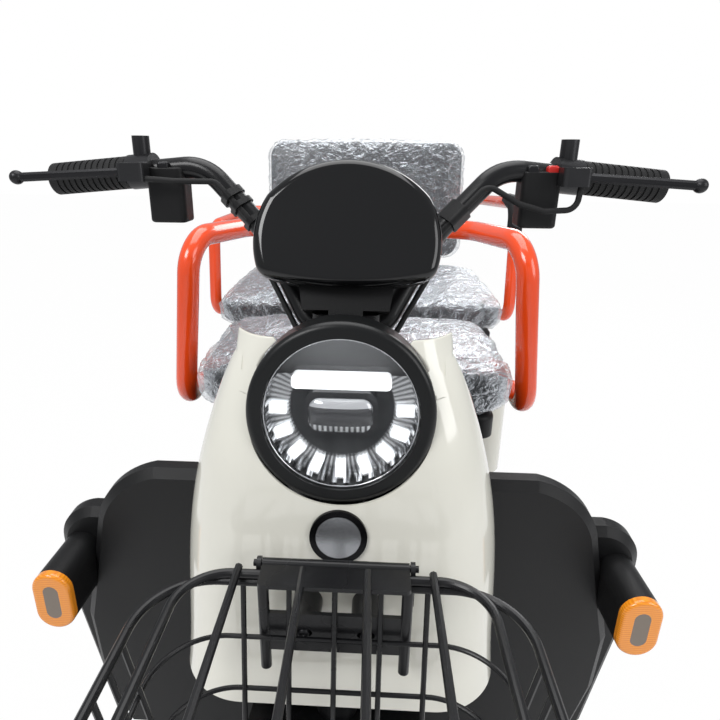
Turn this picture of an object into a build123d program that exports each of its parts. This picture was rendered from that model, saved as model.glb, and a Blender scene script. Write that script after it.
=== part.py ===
from build123d import *
import math
import os

os.makedirs("parts", exist_ok=True)

# Electric passenger tricycle. Millimetres, +Z up, standing on its wheels. It faces -Y,
# so +X is the vehicle's left side. The origin lies on the ground under the middle.

# Wheels
wheel_radius = 205
tyre_width = 82
rim_seat_radius = 127
rim_width = 62
rim_wall = 9
hub_radius = 30
hub_width = 84
spoke_count = 5
spoke_width = 24
spoke_depth = 20
axle_radius = 7
running_clearance = 0.05
tyre_crown_drop = 15
tyre_shoulder = 5
tyre_bead_height = 8
rim_flange = 4

# Steering
rake = 17
steer_y = -440
steer_z = 860
fork_offset = 36
fork_half_width = 72
stanchion_radius = 13
slider_radius = 18
slider_length = 215
slider_foot = 22
head_bottom_z = 484
head_top_z = 790
head_tube_radius = 23
stem_radius = 17
crown_thickness = 20
bearing_gap = 6
bearing_race_radius = 21
race_gap = 0.3
stem_top_z = 842
fender_clearance = 14
fender_wall = 4
fender_half_width = 48
fender_rear_angle = 28
fender_sweep = 168
fender_skirt = 26
fender_boss_radius = 9

# Frame
frame_tube_radius = 18
frame_half_width = 170
frame_z = 262
frame_front_y = -410
frame_rear_y = 800
frame_bend = 70
down_tube_top_z = 575
cross_tube_ys = (-70, 210, 425, 690)
down_tube_radius = 20
post_radius = 14
post_front_y = 262
post_rear_y = 604

# Rear axle and suspension
rear_axle_y = 520
rear_wheel_x = 310
axle_housing_radius = 25
brake_radius = 72
brake_thickness = 14
brake_gap = 6
motor_radius = 82
motor_length = 170
shock_x = 216
shock_radius = 24
shock_core_radius = 15
arm_x = 130
arm_radius = 12
shock_top_z = 432
coil_count = 6

# Floor and leg shield
floor_thickness = 14
floor_half_width = 318
floor_rim = 12
floor_rear_y = 194
floor_fillet = 30
mat_half_width = 286
mat_front_y = 62
mat_rear_y = 168
mat_thickness = 2
shield_foot_y = -442
shield_lean = 4.4
shield_top_z = 708
shield_wall = 5
wing_depth = 22
wing_chamfer = 9
wing_half_width = 320
cover_half_width = 94
cover_depth = 98
cover_wall = 3
cover_top_z = 800
cover_fillet = 26
cover_opening_half_width = 66
seat_gap = 0.3
shoulder_half_width = 350
shoulder_inner_x = 262
shoulder_top_z = 633
shoulder_depth = 24
# Wing outline: share of the height above the floor, share of the half width.
wing_top_share = (1, 0.65)
wing_arc_share = (0.945, 0.79)
wing_edge_shares = ((0.844, 0.878), (0.634, 0.947), (0.479, 1), (0.28, 1), (0, 0.93))
# Shoulder outline: share of its height, share of the half width.
shoulder_top_share = (1, 0.86)
shoulder_arc_share = (0.955, 0.945)
shoulder_edge_shares = ((0.86, 0.985), (0.6, 1), (0, 0.94))

# Cowl: sections from the bottom up, each a height, a half width and a front place
cowl_wall = 3
cowl_sections = (
    {"z": 516, "half_width": 165, "front_y": -586},
    {"z": 600, "half_width": 162, "front_y": -570},
    {"z": 733, "half_width": 148, "front_y": -550},
    {"z": 805, "half_width": 127, "front_y": -532},
    {"z": 874, "half_width": 101, "front_y": -503},
)
cowl_corner_share = 0.42
cowl_tie_z = 640
cowl_tie_radius = 9
overrun = 20

# Headlamp
lamp_y = -541
lamp_z = 812
lamp_tilt = 5
lamp_radius = 86
lamp_depth = 38
lamp_lip = 13
lamp_glass_radius = 71
lamp_glass_wall = 2.5
lamp_bowl_depth = 26
lamp_bowl_wall = 2
flute_count = 36
flute_radius = 3.2
led_count = 9
led_circle_radius = 59
led_width = 16
led_height = 9.5
led_depth = 8
bar_width = 100
bar_height = 13
bar_rise = 29
projector_width = 66
projector_height = 40
projector_depth = 16

# Turn signals
signal_x = 316
signal_z = 566
signal_front_y = -520
signal_width = 43
signal_height = 73
signal_lens_depth = 9
signal_edge = 4

# Badge
badge_z = 697
badge_width = 54
badge_height = 52
badge_thickness = 3

# Basket
rim_tube_radius = 4
wire_radius = 2.5
hoop_radius = 2.2
hoop_out = 1.5
basket_rear_y = -603
basket_length = 236
basket_half_width = 158
basket_top_z = 682
basket_depth = 150
basket_taper = 26
basket_corner = 58
bottom_corner = 34
side_wire_count = 5
cross_wire_count = 5
wire_side_count = 8
ring_side_count = 12
hoop_shares = (0.36, 0.7, 0.96)
bracket_tube_radius = 5
bracket_tube_x = 63
bracket_plate_half_width = 61
bracket_plate_bottom_z = 608
bracket_plate_top_z = 650
bracket_plate_thickness = 4
bracket_slot_length = 16
bracket_slot_width = 7
bracket_slot_x = 28
bracket_arm_radius = 7

# Basket lid
lid_half_width = 130
lid_corner = 42
lid_wire_radius = 3.5
lid_wire_xs = (-84, -28, 28, 84)
lid_gap = 0.4
lid_axis_y = -593
lid_axis_rise = 12
lid_plate_half_width = 64
lid_plate_thickness = 4
lid_plate_front = 20
lid_pin_radius = 3
lid_pin_length = 8
lid_ear_gap = 1
lid_ear_thickness = 4
lid_ear_width = 12

# Handlebar
bar_radius = 11
bar_clamp_x = 38
bar_clamp_y = -425
bar_clamp_z = 862
bar_knee_x = 90
bar_knee_y = -382
bar_knee_z = 952
bar_bend_x = 155
bar_bend_y = -368
bar_bend_z = 1019
bar_end_x = 327
bar_end_y = -345
bar_end_z = 1003
bar_low_bend = 26
bar_knee_bend = 90
bar_top_bend = 48
clamp_half_width = 34
clamp_half_depth = 21
clamp_half_height = 20
grip_radius = 17
grip_length = 86
grip_end_cap = 5
grip_rib_count = 11
grip_rib_depth = 1.2
perch_inner_x = 212
perch_length = 28
perch_radius = 18
perch_reach = 40
mirror_boss_radius = 9
mirror_boss_height = 36
mirror_bore_radius = 3.4
mirror_bore_depth = 16
lever_root_x = 232
lever_tip_x = 339
lever_tip_y = -408
lever_root_width = 20
lever_tip_width = 10
lever_thickness = 9
lever_ball_radius = 7
lever_droop = 3.2
switch_x = 197
switch_width = 40
switch_depth = 34
switch_height = 55
switch_drop = 2
switch_fillet = 7

# Instrument cluster
cluster_half_width = 90
cluster_half_height = 62
cluster_y = -428
cluster_z = 964
cluster_lean = 22
cluster_face_depth = 24
cluster_back_depth = 26
cluster_edge_fillet = 10
cluster_screen_width = 112
cluster_screen_height = 66
cluster_screen_depth = 2
cluster_neck_top_width = 100
cluster_neck_bottom_width = 86
cluster_neck_height = 20
cluster_neck_depth = 24
cluster_foot_width = 34
cluster_foot_height = 28

# Control cables, held beside the bar by clips
cable_radius = 3
cable_away = 15
cable_bend = 12
cable_end_x = 46
cable_end_y = -436
cable_end_z = 850
cable_low_x = 88
cable_low_y = -401
cable_low_z = 918
clip_wall = 2.5
left_cable_points = ((-212, -392, 1006), (-181, -392, 1004))
right_cable_points = ((232, -392, 1003), (230, -392, 981), (198, -392, 979), (172, -392, 986))
# Clips: side, share of the bar's slope, width along the bar
clip_table = ((-1, 0.55, 8), (-1, 0.4, 6), (-1, 0.18, 6), (1, 0.3, 22))

# Driver's seat
driver_box_half_width = 150
driver_box_front_y = -165
driver_box_rear_y = 55
driver_box_wall = 4
driver_box_fillet = 22
battery_half_width = 132
battery_length = 190
battery_height = 205
pan_half_width = 225
pan_front_y = -190
pan_rear_y = 64
pan_top_z = 650
pan_depth = 38
pan_wall = 4
pan_fillet = 24
driver_cushion_half_width = 240
driver_cushion_front_y = -204
driver_cushion_rear_y = 80
driver_cushion_height = 95
cushion_corner = 40
cushion_edge = 20

# Driver's rail
rail_radius = 17.5
rail_leg_y = -115
rail_bottom_x = 290
rail_bottom_z = 632
rail_top_x = 262
rail_top_z = 908
rail_root_y = -20
rail_back_x = 205
rail_back_y = 100
rail_back_z = 902
rail_root_bend = 26
rail_foot_bend = 40
rail_bend = 56
rail_back_bend = 62

# Rear body
body_front_y = 200
body_rear_y = 850
body_half_width = 350
body_bottom_z = 314
body_post_height = 78
body_shoulder_z = 580
body_top_z = 650
body_wall = 5
box_half_width = 290
box_rear_y = 800
body_corner = 48
body_edge = 26
arch_radius = 234
arch_lip = 9
arch_lip_proud = 3
tub_half_width = 232
tub_front_y = 226
tub_rear_y = 632
tub_floor_z = 455
tub_wall = 3
tub_flange = 22
tub_corner = 30
tub_gap = 0.3

# Passenger's seat
passenger_pan_half_width = 292
passenger_pan_front_y = 197
passenger_pan_rear_y = 642
passenger_pan_thickness = 11
passenger_half_width = 308
passenger_front_y = 192
passenger_rear_y = 650
passenger_height = 86
hinge_y = 184
hinge_z = 656
hinge_radius = 4
hinge_knuckle_radius = 8
hinge_ear_x = 100
hinge_ear_thickness = 8
hinge_knuckle_x = 66
hinge_knuckle_length = 44

# Backrest
back_lean = 8
back_y = 745
back_z = 907
back_half_width = 275
back_height = 318
back_thickness = 56
back_shell_thickness = 8
back_corner = 44
back_edge = 20
back_tube_radius = 12.5
back_tube_x = 170
back_tube_rise = 110
back_tube_bend = 60
back_bar_half_width = 300
back_foot_width = 70
back_foot_length = 56
back_foot_thickness = 6

# Rear rails
rear_rail_radius = 14
rear_leg_y = 385
rear_leg_bottom_x = 370
rear_leg_top_x = 361
rear_leg_bottom_z = 655
rear_rail_root_y = 620
rear_rail_root_z = 620
rear_rail_out_x = 336
rear_rail_bend = 44
rear_rail_end_bend = 22
# The left rail stands higher than the right one.
rear_rails_table = ({"side": 1, "top_z": 930, "end_z": 912}, {"side": -1, "top_z": 868, "end_z": 872})
sleeve_radius = 17.5

# Rear end
bumper_radius = 14
bumper_arm_radius = 11
bumper_half_width = 250
bumper_bend = 50
plate_width = 230
plate_height = 120
plate_thickness = 3
plate_hole_spacing = 150
plate_hole_radius = 3.3
tail_lamp_x = 268
tail_lamp_z = 492
tail_lamp_width = 92
tail_lamp_height = 46
tail_lamp_depth = 22

# Values worked out from the sizes above
tan_rake = math.tan(math.radians(rake))
sin_rake = math.sin(math.radians(rake))
cos_rake = math.cos(math.radians(rake))
axle_along_stem = (wheel_radius - steer_z - fork_offset * sin_rake) / cos_rake
front_axle_y = steer_y + axle_along_stem * sin_rake - fork_offset * cos_rake
rear_end_y = wheel_radius - front_axle_y
frame_top_z = frame_z + frame_tube_radius
floor_top_z = frame_top_z + floor_thickness

steer_plane = Plane(origin=(0, steer_y, steer_z), x_dir=(1, 0, 0), z_dir=(0, sin_rake, cos_rake))
lean_sin = math.sin(math.radians(shield_lean))
lean_cos = math.cos(math.radians(shield_lean))
shield_plane = Plane(origin=(0, shield_foot_y, frame_top_z), x_dir=(1, 0, 0), z_dir=(0, -lean_cos, -lean_sin))
shield_height = (shield_top_z - frame_top_z) / lean_cos


def along_stem(z):
    """Distance along the steering axis, from its marked point, of the place at height z."""
    return (z - steer_z) / cos_rake


def tube(points, corner_radii, radius, side_count=0):
    """A bar along straight runs that tangent arcs join: round, or with side_count flat sides."""
    with BuildPart() as piece:
        with BuildLine() as path:
            if len(points) > 2:
                FilletPolyline(*points, radius=corner_radii)
            else:
                Line(*points)
        with BuildSketch(Plane(path.line @ 0, z_dir=path.line % 0)):
            if side_count:
                RegularPolygon(radius, side_count)
            else:
                Circle(radius)
        sweep(path=path.line)
    return piece.part


def ring_bar(half_width, rear_y, front_y, corner, z, radius):
    """A bar of ring_side_count flat sides, bent to a closed rounded rectangle in a level plane."""
    with BuildPart() as piece:
        with BuildLine() as path:
            Line((0, rear_y, z), (half_width - corner, rear_y, z))
            RadiusArc((half_width - corner, rear_y, z), (half_width, rear_y - corner, z), corner)
            Line((half_width, rear_y - corner, z), (half_width, front_y + corner, z))
            RadiusArc((half_width, front_y + corner, z), (half_width - corner, front_y, z), corner)
            Line((half_width - corner, front_y, z), (0, front_y, z))
        with BuildSketch(Plane(path.line @ 0, z_dir=path.line % 0)):
            RegularPolygon(radius, ring_side_count)
        sweep(path=path.line)
        mirror(about=Plane.YZ)
    return piece.part


def soft_block(half_width, front_y, rear_y, bottom_z, height, corner, edge):
    """A closed block with rounded upright corners and rounded top and bottom edges."""
    plane = Plane(origin=(0, (front_y + rear_y) / 2, bottom_z))
    with BuildPart() as piece:
        with BuildSketch(plane):
            RectangleRounded(half_width * 2, rear_y - front_y, corner)
        extrude(amount=height)
        fillet(piece.faces().filter_by(Axis.Z).edges(), radius=edge)
    return piece.part


def shield_height_of(z):
    """Distance up the leaning shield of the place at height z."""
    return (z - frame_top_z) / lean_cos


# Front cowl: an ivory shell lofted through level sections, open below and behind
def cowl_solid(inset, reach):
    """The cowl's outer form, drawn in by inset, its open ends run on by reach."""
    last = len(cowl_sections) - 1
    with BuildPart() as piece:
        for i, section in enumerate(cowl_sections):
            beside = cowl_sections[1] if i == 0 else cowl_sections[i - 1]
            run_on = -reach if i == 0 else (reach if i == last else 0)
            slope_share = run_on / (section["z"] - beside["z"])
            half_width = section["half_width"] - inset
            half_width += (section["half_width"] - beside["half_width"]) * slope_share
            front_y = section["front_y"] + inset
            front_y += (section["front_y"] - beside["front_y"]) * slope_share
            corner = half_width * cowl_corner_share
            rear_y = shield_foot_y
            with BuildSketch(Plane.XY.offset(section["z"] + run_on)):
                with BuildLine():
                    Line((-half_width, rear_y), (half_width, rear_y))
                    Line((half_width, rear_y), (half_width, front_y + corner))
                    RadiusArc((half_width, front_y + corner), (half_width - corner, front_y), corner)
                    Line((half_width - corner, front_y), (corner - half_width, front_y))
                    RadiusArc((corner - half_width, front_y), (-half_width, front_y + corner), corner)
                    Line((-half_width, front_y + corner), (-half_width, rear_y))
                make_face()
        loft()
    return piece.part


lamp_plane = Plane(
    origin=(0, lamp_y, lamp_z),
    x_dir=(1, 0, 0),
    z_dir=(0, -math.cos(math.radians(lamp_tilt)), math.sin(math.radians(lamp_tilt))),
)
cowl_outer = cowl_solid(0, 0)
cowl_inner = cowl_solid(cowl_wall, overrun)
cowl_rim_plane = shield_plane.offset(seat_gap + cowl_wall)
cowl_back_plane = shield_plane.offset(seat_gap)

with BuildPart() as cowl_hollow:
    add(cowl_inner)
    split(bisect_by=cowl_rim_plane, keep=Keep.TOP)

with BuildPart() as front_cowl:
    add(cowl_outer)
    split(bisect_by=cowl_back_plane, keep=Keep.TOP)
    add(cowl_hollow.part, mode=Mode.SUBTRACT)
    with BuildSketch(cowl_rim_plane.offset(overrun)):
        with Locations((0, shield_height)):
            Rectangle((cover_half_width + seat_gap) * 2, shield_height * 2)
    extrude(amount=-overrun * 2, mode=Mode.SUBTRACT)
    with BuildSketch(lamp_plane.offset(overrun)):
        Circle(lamp_radius + seat_gap)
    extrude(amount=-lamp_depth - overrun * 2, mode=Mode.SUBTRACT)
front_cowl.part.label = "front_cowl"
export_step(front_cowl.part, "parts/front_cowl.step")


# The tie bar runs through the steering head and ends on the cowl's inner walls
with BuildPart() as cowl_tie:
    tie_y = steer_y + (cowl_tie_z - steer_z) * tan_rake
    tie_reach = cowl_sections[0]["half_width"]
    add(tube(((-tie_reach, tie_y, cowl_tie_z), (tie_reach, tie_y, cowl_tie_z)), [], cowl_tie_radius))
    add(cowl_inner, mode=Mode.INTERSECT)


# Main frame: a bent loop under the floor, cross tubes, the down tube and the steering head
with BuildPart() as main_frame:
    add(
        tube(
            (
                (-frame_half_width, frame_rear_y, frame_z),
                (-frame_half_width, frame_front_y, frame_z),
                (frame_half_width, frame_front_y, frame_z),
                (frame_half_width, frame_rear_y, frame_z),
            ),
            [frame_bend, frame_bend],
            frame_tube_radius,
        )
    )
    for y in cross_tube_ys:
        add(tube(((-frame_half_width, y, frame_z), (frame_half_width, y, frame_z)), [], frame_tube_radius))
    down_tube_top_y = steer_y + (down_tube_top_z - steer_z) * tan_rake
    add(tube(((0, frame_front_y, frame_z), (0, down_tube_top_y, down_tube_top_z)), [], down_tube_radius))
    with BuildSketch(steer_plane.offset(along_stem(head_bottom_z))):
        Circle(head_tube_radius)
    extrude(amount=along_stem(head_top_z) - along_stem(head_bottom_z))
    add(cowl_tie.part)
    for side in (-1, 1):
        for y, top_z in (
            (body_front_y + body_wall + seat_gap + post_radius, frame_z + body_post_height),
            (post_front_y, tub_floor_z - tub_wall),
            (rear_axle_y, shock_top_z),
            (post_rear_y, tub_floor_z - tub_wall),
        ):
            x = side * frame_half_width
            add(tube(((x, y, frame_z), (x, y, top_z)), [], post_radius))
    shock_bar_x = shock_x + shock_core_radius * 2
    add(tube(((-shock_bar_x, rear_axle_y, shock_top_z), (shock_bar_x, rear_axle_y, shock_top_z)), [], post_radius))
    with BuildSketch(steer_plane.offset(along_stem(head_bottom_z) - overrun)):
        Circle(stem_radius + running_clearance)
    extrude(amount=along_stem(head_top_z) - along_stem(head_bottom_z) + overrun * 2, mode=Mode.SUBTRACT)
main_frame.part.label = "main_frame"
export_step(main_frame.part, "parts/main_frame.step")


# Floor board: a tray with a raised rim, notched round the down tube
with BuildPart() as floor_board:
    floor_front_y = shield_foot_y + wing_depth + seat_gap
    floor_plane = Plane(origin=(0, (floor_front_y + floor_rear_y) / 2, frame_top_z))
    floor_length = floor_rear_y - floor_front_y
    with BuildSketch(floor_plane):
        Rectangle(floor_half_width * 2, floor_length)
    extrude(amount=floor_thickness)
    fillet(floor_board.edges().filter_by(Axis.Z), radius=floor_fillet)
    for side in (-1, 1):
        with BuildSketch(Plane(origin=(side * (floor_half_width - floor_rim / 2), 0, floor_top_z))):
            Rectangle(floor_rim, floor_length - floor_fillet * 4)
        extrude(amount=floor_rim)
    with BuildSketch(floor_plane):
        with Locations((0, -floor_length / 2)):
            Rectangle((down_tube_radius + seat_gap) * 2, down_tube_radius * 4)
    extrude(amount=floor_thickness, mode=Mode.SUBTRACT)
    # the passenger's foot mat, a flat step up from the tray
    with BuildSketch(Plane(origin=(0, (mat_front_y + mat_rear_y) / 2, floor_top_z))):
        Rectangle(mat_half_width * 2, mat_rear_y - mat_front_y)
    extrude(amount=mat_thickness)
floor_board.part.label = "floor_board"
export_step(floor_board.part, "parts/floor_board.step")


# Inner cover: the rider's side of the steering head, a box open in front and at the stem
with BuildPart() as inner_cover:
    cover_low = shield_height_of(floor_top_z + seat_gap)
    cover_high = shield_height_of(cover_top_z)
    with BuildSketch(shield_plane):
        with Locations((0, (cover_low + cover_high) / 2)):
            Rectangle(cover_half_width * 2, cover_high - cover_low)
    extrude(amount=-cover_depth)
    rear_face = inner_cover.faces().sort_by(Axis.Y)[-1]
    fillet(rear_face.edges().filter_by(Axis.X, reverse=True), radius=cover_fillet)
    with BuildSketch(shield_plane):
        with Locations((0, (cover_low + cover_high) / 2 - cover_wall)):
            Rectangle((cover_half_width - cover_wall) * 2, cover_high - cover_low)
    extrude(amount=-cover_depth + cover_wall, mode=Mode.SUBTRACT)
    with BuildSketch(Plane(origin=(0, steer_y + (cover_top_z - steer_z) * tan_rake, cover_top_z - overrun))):
        RectangleRounded(cover_opening_half_width * 2, cover_opening_half_width * 1.1, cover_wall * 3)
    extrude(amount=overrun * 2, mode=Mode.SUBTRACT)
inner_cover.part.label = "inner_cover"
export_step(inner_cover.part, "parts/inner_cover.step")


def wing_point(share):
    """A point of the wing's outline from its shares of height and half width."""
    return (wing_half_width * share[1], shield_height * share[0])


def pod_outline(grow):
    """The rounded upright outline of a turn signal's pod, grown all round by grow."""
    return (signal_height + grow * 2, (signal_width + grow * 2))


# Leg shield: two wings beside the cowl, each a sheet with a turned edge
with BuildPart() as leg_shield:
    with BuildSketch(shield_plane):
        with BuildLine():
            inner_x = cover_half_width + seat_gap
            arc_end = wing_point(wing_edge_shares[0])
            Polyline((inner_x, 0), (inner_x, shield_height), wing_point(wing_top_share))
            ThreePointArc(wing_point(wing_top_share), wing_point(wing_arc_share), arc_end)
            Polyline(*[wing_point(share) for share in wing_edge_shares], (inner_x, 0))
        make_face()
    extrude(amount=-wing_depth)
    front_face = leg_shield.faces().filter_by(lambda f: f.normal_at().Y < -0.9).sort_by(SortBy.AREA)[-1]
    rim_edges = front_face.edges().filter_by(lambda e: e.center().X > inner_x + 1)
    chamfer(rim_edges, length=wing_chamfer)
    with BuildSketch(shield_plane.offset(-shield_wall)):
        with BuildLine() as wing_line:
            Polyline((inner_x, 0), (inner_x, shield_height), wing_point(wing_top_share))
            ThreePointArc(wing_point(wing_top_share), wing_point(wing_arc_share), arc_end)
            Polyline(*[wing_point(share) for share in wing_edge_shares], (inner_x, 0))
        make_face()
        offset(amount=-wing_chamfer, mode=Mode.REPLACE)
    extrude(amount=-wing_depth, mode=Mode.SUBTRACT)
    pod_size = pod_outline(seat_gap)
    with BuildSketch(Plane(origin=(signal_x, signal_front_y, signal_z), x_dir=(0, 0, 1), z_dir=(0, -1, 0))):
        SlotOverall(pod_size[0], pod_size[1])
    extrude(amount=-wing_depth * 8, mode=Mode.SUBTRACT)
    mirror(about=Plane.YZ)
leg_shield.part.label = "leg_shield"
export_step(leg_shield.part, "parts/leg_shield.step")


def shoulder_point(share):
    """A point of the shoulder's outline from its shares of height and half width."""
    foot = shield_height_of(floor_top_z + seat_gap)
    return (shoulder_half_width * share[1], foot + (shield_height_of(shoulder_top_z) - foot) * share[0])


# Shoulder panels: outside and behind the wings, they carry the turn signals
shoulder_plane = shield_plane.offset(-wing_depth - seat_gap)
with BuildPart() as shoulder_panels:
    with BuildSketch(shoulder_plane):
        with BuildLine():
            top = shoulder_point(shoulder_top_share)
            arc_end = shoulder_point(shoulder_edge_shares[0])
            foot = shoulder_point(shoulder_edge_shares[-1])
            Polyline((shoulder_inner_x, foot[1]), (shoulder_inner_x, top[1]), top)
            ThreePointArc(top, shoulder_point(shoulder_arc_share), arc_end)
            Polyline(*[shoulder_point(share) for share in shoulder_edge_shares], (shoulder_inner_x, foot[1]))
        make_face()
    extrude(amount=-shoulder_depth)
    front_face = shoulder_panels.faces().filter_by(lambda f: f.normal_at().Y < -0.9).sort_by(SortBy.AREA)[-1]
    chamfer(front_face.edges().filter_by(lambda e: e.center().X > shoulder_inner_x + 1), length=wing_chamfer)
    mirror(about=Plane.YZ)
shoulder_panels.part.label = "shoulder_panels"
export_step(shoulder_panels.part, "parts/shoulder_panels.step")


# Turn signals: upright stadium pods with amber lenses
signal_plane = Plane(origin=(signal_x, signal_front_y, signal_z), x_dir=(0, 0, 1), z_dir=(0, -1, 0))
with BuildPart() as signal_pods:
    with BuildSketch(signal_plane.offset(-signal_lens_depth)):
        SlotOverall(signal_height, signal_width)
    extrude(amount=-wing_depth * 8)
    split(bisect_by=shoulder_plane, keep=Keep.TOP)
    mirror(about=Plane.YZ)
signal_pods.part.label = "signal_pods"
export_step(signal_pods.part, "parts/signal_pods.step")

with BuildPart() as signal_lenses:
    with BuildSketch(signal_plane.offset(-signal_lens_depth)):
        SlotOverall(signal_height, signal_width)
    extrude(amount=signal_lens_depth)
    fillet(signal_lenses.faces().sort_by(Axis.Y)[0].edges(), radius=signal_edge)
    mirror(about=Plane.YZ)
signal_lenses.part.label = "signal_lenses"
export_step(signal_lenses.part, "parts/signal_lenses.step")


# Headlamp bezel: a deep black ring with a peak along its top
with BuildPart() as headlamp_bezel:
    with BuildSketch(lamp_plane):
        Circle(lamp_radius)
        Circle(lamp_glass_radius + seat_gap, mode=Mode.SUBTRACT)
    extrude(amount=-lamp_depth)
    rims = headlamp_bezel.faces().sort_by(Axis.Y)[0].edges().sort_by(SortBy.LENGTH)
    fillet(rims[-1], radius=lamp_lip * 0.5)
    with BuildSketch(lamp_plane.offset(-lamp_depth)):
        Circle(lamp_radius - lamp_lip)
    extrude(amount=-lamp_bowl_wall * 2)
headlamp_bezel.part.label = "headlamp_bezel"
export_step(headlamp_bezel.part, "parts/headlamp_bezel.step")

# Reflector: a shallow fluted bowl that carries the lamp's optics
bowl_plane = lamp_plane.offset(-lamp_glass_wall * 4 - seat_gap)
with BuildPart() as headlamp_reflector:
    with BuildSketch(bowl_plane):
        Circle(lamp_glass_radius)
    extrude(amount=-lamp_bowl_depth)
    with BuildSketch(bowl_plane):
        Circle(lamp_glass_radius - lamp_bowl_wall)
    with BuildSketch(bowl_plane.offset(-lamp_bowl_depth * 0.6)):
        Circle(led_circle_radius + led_width * 0.52)
    loft(mode=Mode.SUBTRACT)
    with Locations(bowl_plane):
        with PolarLocations(lamp_glass_radius - lamp_bowl_wall, flute_count):
            Cylinder(flute_radius, lamp_bowl_depth, mode=Mode.SUBTRACT)
headlamp_reflector.part.label = "headlamp_reflector"
export_step(headlamp_reflector.part, "parts/headlamp_reflector.step")

# Lamp optics: nine light blocks round the lower half, a bar above and a projector between
bowl_floor = bowl_plane.offset(-lamp_bowl_depth * 0.6)
with BuildPart() as headlamp_lights:
    with BuildSketch(bowl_floor):
        RectangleRounded(projector_width, projector_height, projector_height / 4)
        with Locations((0, bar_rise)):
            RectangleRounded(bar_width * 0.9, bar_height, bar_height / 3)
    extrude(amount=projector_depth)
    with BuildSketch(bowl_floor):
        with PolarLocations(led_circle_radius, led_count, 180, 180, endpoint=True):
            Rectangle(led_width, led_height)
    extrude(amount=led_depth)
headlamp_lights.part.label = "headlamp_lights"
export_step(headlamp_lights.part, "parts/headlamp_lights.step")

def dome_middle(radius, rise):
    """The point halfway along the arc from a dome's rim to its top: distance out, height."""
    sphere = (radius**2 + rise**2) / (rise * 2)
    half_turn = math.asin(radius / sphere) / 2
    return (sphere * math.sin(half_turn), rise - sphere * (1 - math.cos(half_turn)))


# Lamp glass: a shallow clear dome that seats in the bezel
glass_plane = lamp_plane.offset(-lamp_glass_wall * 4)
with BuildPart() as headlamp_lens:
    with BuildSketch(Plane(origin=glass_plane.origin, x_dir=lamp_plane.x_dir, z_dir=-lamp_plane.y_dir)):
        with BuildLine():
            glass_rise = lamp_glass_wall * 6
            inner_radius = lamp_glass_radius - lamp_glass_wall
            ThreePointArc((lamp_glass_radius, 0), dome_middle(lamp_glass_radius, glass_rise), (0, glass_rise))
            Line((0, glass_rise), (0, glass_rise - lamp_glass_wall))
            inner_rise = glass_rise - lamp_glass_wall
            ThreePointArc((0, inner_rise), dome_middle(inner_radius, inner_rise), (inner_radius, 0))
            Line((inner_radius, 0), (lamp_glass_radius, 0))
        make_face()
    revolve(axis=Axis(glass_plane.origin, lamp_plane.z_dir))
headlamp_lens.part.label = "headlamp_lens"
export_step(headlamp_lens.part, "parts/headlamp_lens.step")

# Badge: a blank oval boss on the cowl
with BuildPart() as badge_disc:
    with BuildSketch(Plane(origin=(0, cowl_sections[1]["front_y"] - overrun, badge_z), x_dir=(1, 0, 0), z_dir=(0, -1, 0))):
        Ellipse(badge_width / 2, badge_height / 2)
    extrude(amount=-overrun * 2)
    add(cowl_solid(-badge_thickness, 0), mode=Mode.INTERSECT)
    add(cowl_outer, mode=Mode.SUBTRACT)
badge_disc.part.label = "badge_disc"
export_step(badge_disc.part, "parts/badge_disc.step")


# Basket: a round tube rim, bent side and cross wires, and level hoops
basket_front_y = basket_rear_y - basket_length
basket_bottom_z = basket_top_z - basket_depth


def basket_inset(share):
    """How far the walls have drawn in at a share of the depth."""
    return basket_taper * share


with BuildPart() as basket:
    add(ring_bar(basket_half_width, basket_rear_y, basket_front_y, basket_corner, basket_top_z, rim_tube_radius))
    for share in hoop_shares:
        inset = basket_inset(share) - hoop_out
        add(
            ring_bar(
                basket_half_width - inset,
                basket_rear_y - inset,
                basket_front_y + inset,
                basket_corner,
                basket_top_z - basket_depth * share,
                hoop_radius,
            )
        )
    for i in range(cross_wire_count):
        share = (i + 0.5) / cross_wire_count
        y = basket_rear_y - basket_corner - (basket_length - basket_corner * 2) * share
        low_x = basket_half_width - basket_taper
        add(
            tube(
                (
                    (-basket_half_width, y, basket_top_z),
                    (-low_x, y, basket_bottom_z),
                    (low_x, y, basket_bottom_z),
                    (basket_half_width, y, basket_top_z),
                ),
                [wire_radius * 4, wire_radius * 4],
                wire_radius,
                wire_side_count,
            )
        )
    long_z = basket_bottom_z - wire_radius / 2
    for i in range(side_wire_count):
        share = (i + 0.5) / side_wire_count
        x = (basket_half_width - basket_corner) * (share * 2 - 1)
        low_front = basket_front_y + basket_taper
        low_rear = basket_rear_y - basket_taper
        add(
            tube(
                (
                    (x, basket_front_y, basket_top_z),
                    (x, low_front, long_z),
                    (x, low_rear, long_z),
                    (x, basket_rear_y, basket_top_z),
                ),
                [wire_radius * 4, wire_radius * 4],
                wire_radius,
                wire_side_count,
            )
        )
basket.part.label = "basket"
export_step(basket.part, "parts/basket.step")

lid_axis_z = basket_top_z + lid_axis_rise
lid_tube_z = basket_top_z + rim_tube_radius * 2 + lid_gap

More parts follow.
